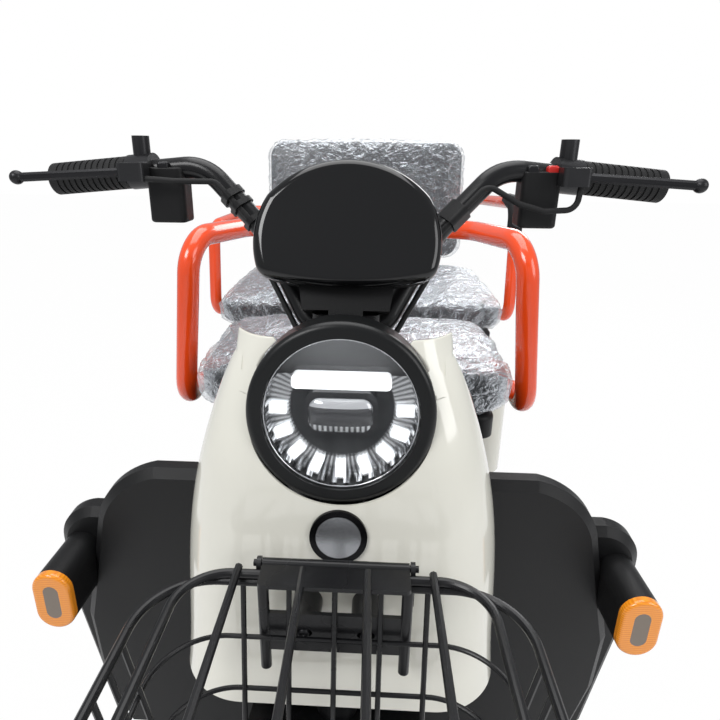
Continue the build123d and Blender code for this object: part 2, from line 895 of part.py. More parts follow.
# Basket bracket: a slotted plate between two upright tubes, spacers to the cowl, and hinge ears
with BuildPart() as basket_bracket:
    plate_middle_z = (bracket_plate_bottom_z + bracket_plate_top_z) / 2
    plate_tall = bracket_plate_top_z - bracket_plate_bottom_z
    bracket_plane = Plane(origin=(0, basket_rear_y, plate_middle_z), x_dir=(1, 0, 0), z_dir=(0, -1, 0))
    with BuildSketch(bracket_plane.offset(-bracket_plate_thickness / 2)):
        Rectangle(bracket_plate_half_width * 2, plate_tall)
    extrude(amount=bracket_plate_thickness)
    for side in (-1, 1):
        x = side * bracket_tube_x
        low_z = bracket_plate_bottom_z - plate_tall / 2
        add(tube(((x, basket_rear_y, low_z), (x, basket_rear_y, basket_top_z)), [], bracket_tube_radius))
        ear_x = side * (lid_plate_half_width + lid_ear_gap + lid_ear_thickness / 2)
        ear_low_z = basket_top_z - plate_tall / 2
        with BuildSketch(Plane(origin=(ear_x, lid_axis_y, (ear_low_z + lid_axis_z) / 2), x_dir=(0, 1, 0), z_dir=(1, 0, 0))):
            SlotOverall(lid_axis_z - ear_low_z + lid_ear_width, lid_ear_width, rotation=90)
        extrude(amount=lid_ear_thickness / 2, both=True)
        spacer = Plane(origin=(side * bracket_slot_x, basket_rear_y, plate_middle_z), x_dir=(1, 0, 0), z_dir=(0, 1, 0))
        with BuildSketch(spacer):
            Circle(bracket_arm_radius * 2)
        extrude(amount=overrun * 2)
    add(cowl_outer, mode=Mode.SUBTRACT)
    with BuildSketch(bracket_plane.offset(bracket_plate_thickness)):
        with Locations((-bracket_slot_x, 0), (bracket_slot_x, 0)):
            SlotOverall(bracket_slot_length, bracket_slot_width)
    extrude(amount=-overrun * 3, mode=Mode.SUBTRACT)
    add(basket.part, mode=Mode.SUBTRACT)
    with BuildSketch(Plane(origin=(0, lid_axis_y, lid_axis_z), x_dir=(0, 1, 0), z_dir=(1, 0, 0))):
        Circle(lid_pin_radius + running_clearance)
    extrude(amount=bracket_tube_x * 2, both=True, mode=Mode.SUBTRACT)
basket_bracket.part.label = "basket_bracket"
export_step(basket_bracket.part, "parts/basket_bracket.step")

# Basket lid: a bent tube loop with four long wires, a hinge plate and two pins
with BuildPart() as basket_lid:
    add(ring_bar(lid_half_width, basket_rear_y, basket_front_y, lid_corner, lid_tube_z, rim_tube_radius))
    wire_z = lid_tube_z + rim_tube_radius
    for x in lid_wire_xs:
        wire_rear = (x, basket_rear_y + rim_tube_radius, wire_z)
        wire_front = (x, basket_front_y - rim_tube_radius, wire_z)
        add(tube((wire_rear, wire_front), [], lid_wire_radius, wire_side_count))
    hinge_plate = Plane(origin=(0, basket_rear_y, lid_tube_z + rim_tube_radius - lid_plate_thickness / 2))
    plate_rear = lid_axis_y - basket_rear_y
    with BuildSketch(hinge_plate):
        with Locations((0, (plate_rear - lid_plate_front) / 2)):
            RectangleRounded(lid_plate_half_width * 2, plate_rear + lid_plate_front, lid_plate_thickness)
    extrude(amount=lid_plate_thickness)
    with BuildSketch(Plane(origin=(0, lid_axis_y, lid_axis_z), x_dir=(0, 1, 0), z_dir=(1, 0, 0))):
        Circle(lid_pin_radius * 1.6)
    extrude(amount=lid_plate_half_width, both=True)
    with BuildSketch(Plane(origin=(0, lid_axis_y, lid_axis_z), x_dir=(0, 1, 0), z_dir=(1, 0, 0))):
        Circle(lid_pin_radius)
    extrude(amount=lid_plate_half_width + lid_pin_length, both=True)
basket_lid.part.label = "basket_lid"
export_step(basket_lid.part, "parts/basket_lid.step")


# Fork: crown, stem and two legs along the steering axis, with the axle between them
with BuildPart() as fork:
    crown_top = along_stem(head_bottom_z) - bearing_gap
    with BuildSketch(steer_plane.offset(crown_top - crown_thickness)):
        with Locations((0, -fork_offset / 2)):
            RectangleRounded((fork_half_width + slider_radius) * 2, fork_offset + slider_radius * 2, slider_radius)
    extrude(amount=crown_thickness)
    with BuildSketch(steer_plane.offset(crown_top)):
        Circle(bearing_race_radius)
    extrude(amount=bearing_gap - race_gap)
    with BuildSketch(steer_plane.offset(crown_top)):
        Circle(stem_radius)
    extrude(amount=along_stem(stem_top_z) - crown_top)
    with BuildSketch(steer_plane.offset(crown_top - crown_thickness)):
        with Locations((-fork_half_width, -fork_offset), (fork_half_width, -fork_offset)):
            Circle(stanchion_radius)
    extrude(amount=axle_along_stem - crown_top + crown_thickness)
    with BuildSketch(steer_plane.offset(axle_along_stem - slider_foot)):
        with Locations((-fork_half_width, -fork_offset), (fork_half_width, -fork_offset)):
            Circle(slider_radius)
    extrude(amount=slider_length + slider_foot)
    with BuildSketch(Plane(origin=(0, front_axle_y, wheel_radius), x_dir=(0, 1, 0), z_dir=(1, 0, 0))):
        Circle(axle_radius)
    extrude(amount=fork_half_width + slider_radius + axle_radius, both=True)
fork.part.label = "fork"
export_step(fork.part, "parts/fork.step")

# Front fender: a curved channel over the tyre, held by bosses on the fork legs
fender_inner = wheel_radius + fender_clearance
with BuildPart() as front_fender:
    tail_angle = math.radians(fender_rear_angle)
    start = Plane(
        origin=(0, front_axle_y, wheel_radius), x_dir=(1, 0, 0), z_dir=(0, math.sin(tail_angle), math.cos(tail_angle))
    )
    with BuildSketch(start):
        Rectangle(fender_half_width * 2, (fender_inner + fender_wall) * 2)
        Rectangle((fender_half_width - fender_wall) * 2, fender_inner * 2, mode=Mode.SUBTRACT)
        Rectangle(fender_half_width * 2, (fender_inner - fender_skirt) * 2, mode=Mode.SUBTRACT)
        with Locations((0, -wheel_radius * 2)):
            Rectangle(fender_half_width * 4, wheel_radius * 4, mode=Mode.SUBTRACT)
    revolve(axis=Axis((0, front_axle_y, wheel_radius), (1, 0, 0)), revolution_arc=fender_sweep)
    boss_away = fender_inner - fender_skirt / 2
    boss_y = front_axle_y + boss_away * sin_rake
    boss_z = wheel_radius + boss_away * cos_rake
    for side in (-1, 1):
        with BuildSketch(Plane(origin=(side * fender_half_width, boss_y, boss_z), x_dir=(0, side, 0), z_dir=(side, 0, 0))):
            Circle(fender_boss_radius)
        extrude(amount=fork_half_width - fender_half_width)
    add(fork.part, mode=Mode.SUBTRACT)
front_fender.part.label = "front_fender"
export_step(front_fender.part, "parts/front_fender.step")


# Handlebar: one bent tube in a clamp on the stem
bar_points = (
    (-bar_end_x, bar_end_y, bar_end_z),
    (-bar_bend_x, bar_bend_y, bar_bend_z),
    (-bar_knee_x, bar_knee_y, bar_knee_z),
    (-bar_clamp_x, bar_clamp_y, bar_clamp_z),
    (bar_clamp_x, bar_clamp_y, bar_clamp_z),
    (bar_knee_x, bar_knee_y, bar_knee_z),
    (bar_bend_x, bar_bend_y, bar_bend_z),
    (bar_end_x, bar_end_y, bar_end_z),
)
bar_radii = [bar_top_bend, bar_knee_bend, bar_low_bend, bar_low_bend, bar_knee_bend, bar_top_bend]
with BuildPart() as handlebar:
    add(tube(bar_points, bar_radii, bar_radius))
    clamp_y = (bar_clamp_y + steer_y + (stem_top_z - steer_z) * tan_rake) / 2
    with BuildSketch(Plane(origin=(0, clamp_y, bar_clamp_z - clamp_half_height))):
        RectangleRounded(clamp_half_width * 2, clamp_half_depth * 2, clamp_half_depth / 2)
    extrude(amount=clamp_half_height * 2)
    add(fork.part, mode=Mode.SUBTRACT)
handlebar.part.label = "handlebar"
export_step(handlebar.part, "parts/handlebar.step")


def bar_place(x):
    """The bar's centre on its straight outer run at the distance x from the middle, left side."""
    share = (x - bar_bend_x) / (bar_end_x - bar_bend_x)
    return (x, bar_bend_y + (bar_end_y - bar_bend_y) * share, bar_bend_z + (bar_end_z - bar_bend_z) * share)


bar_run = Vector(bar_end_x - bar_bend_x, bar_end_y - bar_bend_y, bar_end_z - bar_bend_z)
bar_way = bar_run.normalized()

# Grips: ribbed rubber sleeves with closed ends
with BuildPart() as grips:
    grip_plane = Plane(origin=bar_place(bar_end_x - grip_length), z_dir=bar_way)
    with BuildSketch(grip_plane):
        Circle(grip_radius)
    extrude(amount=grip_length + grip_end_cap)
    for i in range(grip_rib_count):
        groove_x = grip_length * (i + 1) / (grip_rib_count + 1)
        with BuildSketch(grip_plane.offset(groove_x)):
            Circle(grip_radius + overrun)
            Circle(grip_radius - grip_rib_depth, mode=Mode.SUBTRACT)
        extrude(amount=grip_length / (grip_rib_count + 1) / 3, mode=Mode.SUBTRACT)
    mirror(about=Plane.YZ)
    add(handlebar.part, mode=Mode.SUBTRACT)
grips.part.label = "grips"
export_step(grips.part, "parts/grips.step")

# Lever perches with threaded mirror bosses, and the brake levers in front of the grips
with BuildPart() as lever_perches:
    perch_start = bar_place(perch_inner_x)
    with BuildSketch(Plane(origin=perch_start, z_dir=bar_way)):
        Circle(perch_radius)
    extrude(amount=perch_length)
    boss_place = bar_place(perch_inner_x + perch_length / 2)
    with BuildSketch(Plane(origin=boss_place)):
        Circle(mirror_boss_radius)
    extrude(amount=mirror_boss_height)
    arm_plane = Plane(origin=(boss_place[0], boss_place[1], boss_place[2] - lever_thickness))
    with BuildSketch(arm_plane):
        with Locations((0, -perch_reach / 2)):
            RectangleRounded(perch_length, perch_reach, lever_thickness / 2)
    extrude(amount=lever_thickness * 2)
    with BuildSketch(Plane(origin=(boss_place[0], boss_place[1], boss_place[2] + mirror_boss_height))):
        Circle(mirror_bore_radius)
    extrude(amount=-mirror_bore_depth, mode=Mode.SUBTRACT)
    mirror(about=Plane.YZ)
    add(handlebar.part, mode=Mode.SUBTRACT)
lever_perches.part.label = "lever_perches"

with BuildPart() as brake_levers:
    droop = math.radians(lever_droop)
    lever_plane = Plane(
        origin=(lever_root_x, 0, boss_place[2] - lever_thickness / 2),
        x_dir=(math.cos(droop), 0, -math.sin(droop)),
        z_dir=(math.sin(droop), 0, math.cos(droop)),
    )
    lever_root_y = boss_place[1] - perch_reach * 0.7
    lever_reach = lever_tip_x - lever_root_x
    with BuildSketch(lever_plane):
        with BuildLine():
            tip_half = lever_tip_width / 2
            root_half = lever_root_width / 2
            Polyline(
                (0, lever_root_y - root_half),
                (0, lever_root_y + root_half),
                (lever_reach, lever_tip_y + tip_half),
                (lever_reach, lever_tip_y - tip_half),
                close=True,
            )
        make_face()
    extrude(amount=lever_thickness)
    lever_faces = brake_levers.faces().sort_by(Axis.Z)
    chamfer(lever_faces[0].edges() + lever_faces[-1].edges(), length=lever_thickness / 4)
    with Locations(lever_plane.offset(lever_thickness / 2)):
        with Locations((lever_reach, lever_tip_y)):
            Sphere(lever_ball_radius)
    mirror(about=Plane.YZ)
brake_levers.part.label = "brake_levers"

with BuildPart() as perches_cut:
    add(lever_perches.part)
    add(brake_levers.part, mode=Mode.SUBTRACT)
perches_cut.part.label = "lever_perches"
export_step(perches_cut.part, "parts/lever_perches.step")
export_step(brake_levers.part, "parts/brake_levers.step")

# Switch boxes hung under the bar
with BuildPart() as switch_boxes:
    switch_place = bar_place(switch_x)
    switch_low = switch_place[2] - switch_height
    with BuildSketch(Plane(origin=(switch_place[0], switch_place[1], switch_low))):
        RectangleRounded(switch_width, switch_depth, switch_fillet)
    extrude(amount=switch_height + switch_drop)
    fillet(switch_boxes.faces().sort_by(Axis.Z)[0].edges(), radius=switch_fillet / 2)
    fillet(switch_boxes.faces().sort_by(Axis.Z)[-1].edges(), radius=switch_fillet / 4)
    mirror(about=Plane.YZ)
    add(handlebar.part, mode=Mode.SUBTRACT)
    add(perches_cut.part, mode=Mode.SUBTRACT)
switch_boxes.part.label = "switch_boxes"
export_step(switch_boxes.part, "parts/switch_boxes.step")

# Instrument cluster: a domed visor in front, a back shell with the screen, and a neck to the clamp
lean_angle = math.radians(cluster_lean)
cluster_plane = Plane(
    origin=(0, cluster_y, cluster_z), x_dir=(1, 0, 0), z_dir=(0, -math.cos(lean_angle), math.sin(lean_angle))
)


def cluster_outline(grow):
    """The visor's outline: a domed top, bulging sides and a nearly flat bottom."""
    w = cluster_half_width + grow
    h = cluster_half_height + grow
    with BuildLine() as line:
        ThreePointArc((-w * 0.87, h * 0.42), (0, h), (w * 0.87, h * 0.42))
        ThreePointArc((w * 0.87, h * 0.42), (w, -h * 0.13), (w * 0.93, -h * 0.84))
        ThreePointArc((w * 0.93, -h * 0.84), (0, -h), (-w * 0.93, -h * 0.84))
        ThreePointArc((-w * 0.93, -h * 0.84), (-w, -h * 0.13), (-w * 0.87, h * 0.42))
    return line.line


with BuildPart() as cluster_visor:
    with BuildSketch(cluster_plane) as visor_face:
        with BuildLine():
            add(cluster_outline(0))
        make_face()
        fillet(visor_face.vertices(), radius=cluster_edge_fillet * 1.6)
    extrude(amount=cluster_face_depth)
    fillet(cluster_visor.faces().sort_by(Axis.Y)[0].edges(), radius=cluster_edge_fillet)
cluster_visor.part.label = "cluster_visor"
export_step(cluster_visor.part, "parts/cluster_visor.step")

with BuildPart() as cluster_housing:
    with BuildSketch(cluster_plane) as housing_face:
        with BuildLine():
            add(cluster_outline(-cluster_edge_fillet / 4))
        make_face()
        fillet(housing_face.vertices(), radius=cluster_edge_fillet * 1.6)
    extrude(amount=-cluster_back_depth)
    fillet(cluster_housing.faces().sort_by(Axis.Y)[-1].edges(), radius=cluster_edge_fillet / 2)
    with BuildSketch(cluster_plane.offset(-cluster_back_depth)):
        RectangleRounded(cluster_screen_width, cluster_screen_height, cluster_edge_fillet / 2)
    extrude(amount=cluster_screen_depth, mode=Mode.SUBTRACT)
    neck_plane = cluster_plane.offset(-cluster_neck_depth)
    with BuildSketch(neck_plane):
        with BuildLine():
            neck_top = -cluster_half_height * 0.6
            neck_low = -cluster_half_height - cluster_neck_height
            Polyline(
                (-cluster_neck_top_width / 2, neck_top),
                (cluster_neck_top_width / 2, neck_top),
                (cluster_neck_bottom_width / 2, neck_low),
                (-cluster_neck_bottom_width / 2, neck_low),
                close=True,
            )
        make_face()
    extrude(amount=cluster_neck_depth)
    with BuildSketch(neck_plane):
        with Locations((0, neck_low - cluster_foot_height / 2 + cluster_edge_fillet)):
            Rectangle(cluster_foot_width, cluster_foot_height + cluster_edge_fillet * 2)
    extrude(amount=cluster_neck_depth)
    add(handlebar.part, mode=Mode.SUBTRACT)
    add(fork.part, mode=Mode.SUBTRACT)
cluster_housing.part.label = "cluster_housing"
export_step(cluster_housing.part, "parts/cluster_housing.step")

with BuildPart() as cluster_screen:
    with BuildSketch(cluster_plane.offset(-cluster_back_depth)):
        RectangleRounded(cluster_screen_width, cluster_screen_height, cluster_edge_fillet / 2)
    extrude(amount=cluster_screen_depth)
cluster_screen.part.label = "cluster_screen"
export_step(cluster_screen.part, "parts/cluster_screen.step")

# Control cables: each runs in front of the bar, beside its slope and down to the stem
knee = Vector(bar_knee_x, bar_knee_y, bar_knee_z)
slope = Vector(bar_bend_x, bar_bend_y, bar_bend_z) - knee
slope_way = slope.normalized()
ahead = (Vector(0, -1, 0) - slope_way * Vector(0, -1, 0).dot(slope_way)).normalized()


def beside_bar(side, share):
    """The place in front of the bar's slope where a cable runs, at a share of the slope."""
    place = knee + slope * share + ahead * cable_away
    return (side * place.X, place.Y, place.Z)


with BuildPart() as control_cables:
    for side, points in ((-1, left_cable_points), (1, right_cable_points)):
        low = (side * cable_low_x, cable_low_y, cable_low_z)
        end = (side * cable_end_x, cable_end_y, cable_end_z)
        path = points + (beside_bar(side, 0.75), beside_bar(side, 0), low, end)
        add(tube(path, [cable_bend] * (len(path) - 2), cable_radius))
    add(handlebar.part, mode=Mode.SUBTRACT)
    add(cluster_housing.part, mode=Mode.SUBTRACT)
    add(perches_cut.part, mode=Mode.SUBTRACT)
control_cables.part.label = "control_cables"
export_step(control_cables.part, "parts/control_cables.step")

with BuildPart() as cable_clips:
    for side, share, width in clip_table:
        bar_place_here = knee + slope * share
        way = Vector(side * slope_way.X, slope_way.Y, slope_way.Z)
        place = Vector(side * bar_place_here.X, bar_place_here.Y, bar_place_here.Z)
        off = Vector(side * ahead.X, ahead.Y, ahead.Z)
        clip_plane = Plane(origin=place - way * (width / 2), x_dir=off, z_dir=way)
        with BuildSketch(clip_plane):
            Circle(bar_radius + clip_wall)
            with Locations((cable_away, 0)):
                Circle(cable_radius + clip_wall)
            make_hull()
        extrude(amount=width)
    add(handlebar.part, mode=Mode.SUBTRACT)
    add(control_cables.part, mode=Mode.SUBTRACT)
cable_clips.part.label = "cable_clips"
export_step(cable_clips.part, "parts/cable_clips.step")


# Wheels: a tyre with a rounded crown on a rim with flat spokes and a bored hub
def tyre(x, y):
    """A solid tyre whose bead sits between the rim's flanges."""
    half = tyre_width / 2
    seat_half = rim_width / 2
    bead_top = rim_seat_radius + tyre_bead_height
    shoulder_radius = wheel_radius - tyre_crown_drop
    with BuildPart() as piece:
        with BuildSketch(Plane.XY):
            with BuildLine():
                Line((-seat_half, rim_seat_radius), (seat_half, rim_seat_radius))
                Line((seat_half, rim_seat_radius), (seat_half, bead_top))
                ThreePointArc(
                    (seat_half, bead_top),
                    (half, (bead_top + shoulder_radius) / 2),
                    (half - tyre_shoulder, shoulder_radius),
                )
                ThreePointArc(
                    (half - tyre_shoulder, shoulder_radius),
                    (0, wheel_radius),
                    (tyre_shoulder - half, shoulder_radius),
                )
                ThreePointArc(
                    (tyre_shoulder - half, shoulder_radius),
                    (-half, (bead_top + shoulder_radius) / 2),
                    (-seat_half, bead_top),
                )
                Line((-seat_half, bead_top), (-seat_half, rim_seat_radius))
            make_face()
        revolve(axis=Axis.X)
    return piece.part.moved(Location((x, y, wheel_radius)))


def rim(x, y):
    """A barrel with two flanges, spokes and a hub bored for the axle."""
    seat_half = rim_width / 2
    side_plane = Plane(origin=(0, 0, 0), x_dir=(0, 1, 0), z_dir=(1, 0, 0))
    with BuildPart() as piece:
        with BuildSketch(side_plane):
            Circle(rim_seat_radius)
        extrude(amount=seat_half + rim_flange, both=True)
        for side in (-1, 1):
            with BuildSketch(side_plane.offset(side * (seat_half + rim_flange / 2))):
                Circle(rim_seat_radius + tyre_bead_height)
            extrude(amount=rim_flange / 2, both=True)
        with BuildSketch(side_plane):
            Circle(rim_seat_radius - rim_wall)
        extrude(amount=rim_width, both=True, mode=Mode.SUBTRACT)
        with BuildSketch(side_plane):
            with PolarLocations((rim_seat_radius - rim_wall) / 2, spoke_count, start_angle=90):
                Rectangle(rim_seat_radius - rim_wall / 2, spoke_width)
        extrude(amount=spoke_depth / 2, both=True)
        with BuildSketch(side_plane):
            Circle(hub_radius)
        extrude(amount=hub_width / 2, both=True)
        with BuildSketch(side_plane):
            Circle(axle_radius + running_clearance)
        extrude(amount=hub_width, both=True, mode=Mode.SUBTRACT)
    return piece.part.moved(Location((x, y, wheel_radius)))


wheel_places = (
    ("front_{}", 0, front_axle_y),
    ("rear_{}_left", rear_wheel_x, rear_axle_y),
    ("rear_{}_right", -rear_wheel_x, rear_axle_y),
)
for name, x, y in wheel_places:
    wheel_tyre = tyre(x, y)
    wheel_tyre.label = name.format("tyre")
    export_step(wheel_tyre, "parts/" + name.format("tyre") + ".step")
    wheel_rim = rim(x, y)
    wheel_rim.label = name.format("rim")
    export_step(wheel_rim, "parts/" + name.format("rim") + ".step")

# Rear axle: a housing with brake plates and wheel stubs, and two trailing arms to the frame
rear_axle_plane = Plane(origin=(0, rear_axle_y, wheel_radius), x_dir=(0, 1, 0), z_dir=(1, 0, 0))
with BuildPart() as rear_axle:
    hub_inner_x = rear_wheel_x - hub_width / 2
    with BuildSketch(rear_axle_plane):
        Circle(axle_housing_radius)
    extrude(amount=hub_inner_x - brake_gap, both=True)
    for side in (-1, 1):
        with BuildSketch(rear_axle_plane.offset(side * (hub_inner_x - brake_gap - brake_thickness / 2))):
            Circle(brake_radius)
        extrude(amount=brake_thickness / 2, both=True)
        arm_end_y = cross_tube_ys[1]
        add(tube(((side * arm_x, rear_axle_y, wheel_radius), (side * arm_x, arm_end_y, frame_z)), [], arm_radius))
    with BuildSketch(rear_axle_plane):
        Circle(axle_radius)
    extrude(amount=rear_wheel_x + hub_width / 2 + axle_radius, both=True)
    add(main_frame.part, mode=Mode.SUBTRACT)
rear_axle.part.label = "rear_axle"
export_step(rear_axle.part, "parts/rear_axle.step")

# Motor: a round case with end covers round the axle housing
with BuildPart() as motor:
    with BuildSketch(rear_axle_plane):
        Circle(motor_radius)
    extrude(amount=motor_length / 2, both=True)
    chamfer(motor.edges(), length=axle_radius)
    add(rear_axle.part, mode=Mode.SUBTRACT)
motor.part.label = "motor"
export_step(motor.part, "parts/motor.step")

# Rear shocks: a core whose coils are rings with sloping flanks, between the axle and the upper bar
with BuildPart() as rear_shocks:
    shock_length = shock_top_z - wheel_radius
    coil_low = axle_housing_radius * 1.2
    coil_pitch = (shock_length - coil_low - post_radius * 1.5) / coil_count
    coil_line = [(0, 0), (shock_core_radius, 0)]
    for i in range(coil_count):
        coil_line.append((shock_core_radius, coil_low + coil_pitch * i))
        coil_line.append((shock_radius, coil_low + coil_pitch * (i + 0.35)))
        coil_line.append((shock_radius, coil_low + coil_pitch * (i + 0.55)))
    coil_line += [(shock_core_radius, coil_low + coil_pitch * coil_count), (shock_core_radius, shock_length), (0, shock_length)]
    with BuildSketch(Plane(origin=(shock_x, rear_axle_y, wheel_radius), x_dir=(1, 0, 0), z_dir=(0, -1, 0))):
        with BuildLine():
            Polyline(*coil_line, close=True)
        make_face()
    revolve(axis=Axis((shock_x, rear_axle_y, 0), (0, 0, 1)))
    mirror(about=Plane.YZ)
    add(rear_axle.part, mode=Mode.SUBTRACT)
    add(main_frame.part, mode=Mode.SUBTRACT)
rear_shocks.part.label = "rear_shocks"
export_step(rear_shocks.part, "parts/rear_shocks.step")


def block(half_width, front_y, rear_y, bottom_z, top_z, corner, edge):
    """A closed box with rounded upright corners and a rounded top edge."""
    with BuildPart() as piece:
        with BuildSketch(Plane(origin=(0, (front_y + rear_y) / 2, bottom_z))):
            RectangleRounded(half_width * 2, rear_y - front_y, corner)
        extrude(amount=top_z - bottom_z)
        fillet(piece.faces().sort_by(Axis.Z)[-1].edges(), radius=edge)
    return piece.part


def shell(half_width, front_y, rear_y, bottom_z, top_z, corner, edge, wall):
    """A box with rounded upright corners and a rounded top edge, hollow and open below."""
    outside = block(half_width, front_y, rear_y, bottom_z, top_z, corner, edge)
    inside = block(
        half_width - wall, front_y + wall, rear_y - wall, bottom_z - wall, top_z - wall, corner - wall, edge - wall
    )
    with BuildPart() as piece:
        add(outside)
        add(inside, mode=Mode.SUBTRACT)
    return piece.part


# Battery box under the driver's seat, and the pack inside it
with BuildPart() as battery_box:
    add(
        shell(
            driver_box_half_width,
            driver_box_front_y,
            driver_box_rear_y,
            floor_top_z,
            pan_top_z - pan_wall,
            driver_box_fillet,
            driver_box_fillet / 2,
            driver_box_wall,
        )
    )
battery_box.part.label = "battery_box"
export_step(battery_box.part, "parts/battery_box.step")

with BuildPart() as battery_pack:
    with BuildSketch(Plane(origin=(0, (driver_box_front_y + driver_box_rear_y) / 2, floor_top_z))):
        Rectangle(battery_half_width * 2, battery_length)
    extrude(amount=battery_height)
    chamfer(battery_pack.edges(), length=driver_box_wall)
battery_pack.part.label = "battery_pack"
export_step(battery_pack.part, "parts/battery_pack.step")

# Driver's seat: a pan open below and a soft cushion
with BuildPart() as driver_pan:
    add(shell(pan_half_width, pan_front_y, pan_rear_y, pan_top_z - pan_depth, pan_top_z, pan_fillet, pan_wall * 2, pan_wall))
driver_pan.part.label = "driver_pan"
export_step(driver_pan.part, "parts/driver_pan.step")

with BuildPart() as driver_cushion:
    add(
        soft_block(
            driver_cushion_half_width,
            driver_cushion_front_y,
            driver_cushion_rear_y,
            pan_top_z + seat_gap,
            driver_cushion_height,
            cushion_corner,
            cushion_edge,
        )
    )
driver_cushion.part.label = "driver_cushion"
export_step(driver_cushion.part, "parts/driver_cushion.step")

# Driver's rail: one tube from the pan's sides, up beside the cushion and round behind the driver
with BuildPart() as driver_rail:
    half_points = (
        (pan_half_width, rail_root_y, rail_bottom_z),
        (rail_bottom_x, rail_root_y, rail_bottom_z),
        (rail_bottom_x, rail_leg_y, rail_bottom_z),
        (rail_top_x, rail_leg_y, rail_top_z),
        (rail_back_x, rail_back_y, rail_back_z),
    )
    rail_points = half_points + tuple((-x, y, z) for x, y, z in reversed(half_points))
    half_bends = [rail_root_bend, rail_foot_bend, rail_bend, rail_back_bend]
    add(tube(rail_points, half_bends + half_bends[::-1], rail_radius))
driver_rail.part.label = "driver_rail"
export_step(driver_rail.part, "parts/driver_rail.step")

# Rear body: fenders with open arches, a raised box on top, and ears with the seat's hinge rod
plate_z = body_bottom_z + overrun + plate_height / 2
plate_plane = Plane(origin=(0, body_rear_y, plate_z), x_dir=(1, 0, 0), z_dir=(0, 1, 0))
with BuildPart() as rear_body:
    add(shell(body_half_width, body_front_y, body_rear_y, body_bottom_z, body_shoulder_z, body_corner, body_edge, body_wall))
    box_low = body_shoulder_z - body_edge
    with BuildSketch(Plane(origin=(0, (body_front_y + box_rear_y) / 2, box_low))):
        RectangleRounded(box_half_width * 2, box_rear_y - body_front_y, body_corner)
    extrude(amount=body_top_z - box_low)
    fillet(rear_body.faces().sort_by(Axis.Z)[-1].edges(), radius=body_wall * 2)
    with BuildSketch(Plane(origin=(0, (body_front_y + box_rear_y) / 2, box_low - overrun))):
        RectangleRounded(
            (box_half_width - body_wall) * 2, box_rear_y - body_front_y - body_wall * 2, body_corner - body_wall
        )
    extrude(amount=body_top_z - body_wall - box_low + overrun, mode=Mode.SUBTRACT)
    for side in (-1, 1):
        arch_plane = Plane(
            origin=(side * body_half_width, rear_axle_y, wheel_radius), x_dir=(0, 1, 0), z_dir=(side, 0, 0)
        )
        with BuildSketch(arch_plane.offset(-body_wall)):
            Circle(arch_radius + arch_lip)
        extrude(amount=body_wall + arch_lip_proud)
        with BuildSketch(arch_plane.offset(overrun)):
            Circle(arch_radius)
        extrude(amount=-overrun * 3, mode=Mode.SUBTRACT)
        with BuildSketch(Plane(origin=(side * body_half_width, rear_axle_y, body_bottom_z))):
            Rectangle(overrun * 2, (arch_radius + arch_lip) * 2 + overrun)
        extrude(amount=-body_bottom_z * 2, mode=Mode.SUBTRACT)
        ear_plane = Plane(
            origin=(side * (hinge_ear_x - hinge_ear_thickness / 2), hinge_y, hinge_z), x_dir=(0, side, 0), z_dir=(side, 0, 0)
        )
        with BuildSketch(ear_plane):
            Circle(hinge_knuckle_radius)
        extrude(amount=hinge_ear_thickness)
        ear_low_z = body_top_z - hinge_knuckle_radius * 3
        ear_back_y = body_front_y + body_wall / 2
        with BuildSketch(Plane(origin=(side * hinge_ear_x, (hinge_y - hinge_knuckle_radius + ear_back_y) / 2, ear_low_z))):
            Rectangle(hinge_ear_thickness, ear_back_y - hinge_y + hinge_knuckle_radius)
        extrude(amount=body_top_z - body_wall - ear_low_z)
    with BuildSketch(Plane(origin=(0, hinge_y, hinge_z), x_dir=(0, 1, 0), z_dir=(1, 0, 0))):
        Circle(hinge_radius)
    extrude(amount=hinge_ear_x, both=True)
    with BuildSketch(plate_plane):
        with Locations((-plate_hole_spacing / 2, 0), (plate_hole_spacing / 2, 0)):
            Circle(plate_hole_radius)
    extrude(amount=-body_wall * 2, mode=Mode.SUBTRACT)
    tub_middle_y = (tub_front_y + tub_rear_y) / 2
    tub_length = tub_rear_y - tub_front_y
    with BuildSketch(Plane(origin=(0, tub_middle_y, body_top_z - overrun))):
        RectangleRounded((tub_half_width + tub_gap) * 2, tub_length + tub_gap * 2, tub_corner)
    extrude(amount=overrun * 2, mode=Mode.SUBTRACT)
rear_body.part.label = "rear_body"
export_step(rear_body.part, "parts/rear_body.step")

# Storage tub: an open box that hangs in the body's top and stands on the frame's posts
with BuildPart() as storage_tub:
    tub_low_z = tub_floor_z - tub_wall
    with BuildSketch(Plane(origin=(0, tub_middle_y, tub_low_z))):
        RectangleRounded(tub_half_width * 2, tub_length, tub_corner)
    extrude(amount=body_top_z - tub_low_z)
    with BuildSketch(Plane(origin=(0, tub_middle_y, body_top_z))):
        RectangleRounded((tub_half_width + tub_flange) * 2, tub_length + tub_flange * 2, tub_corner)
    extrude(amount=tub_wall)
    with BuildSketch(Plane(origin=(0, tub_middle_y, tub_floor_z))):
        RectangleRounded((tub_half_width - tub_wall) * 2, tub_length - tub_wall * 2, tub_corner - tub_wall)
    extrude(amount=body_top_z, mode=Mode.SUBTRACT)
storage_tub.part.label = "storage_tub"
export_step(storage_tub.part, "parts/storage_tub.step")

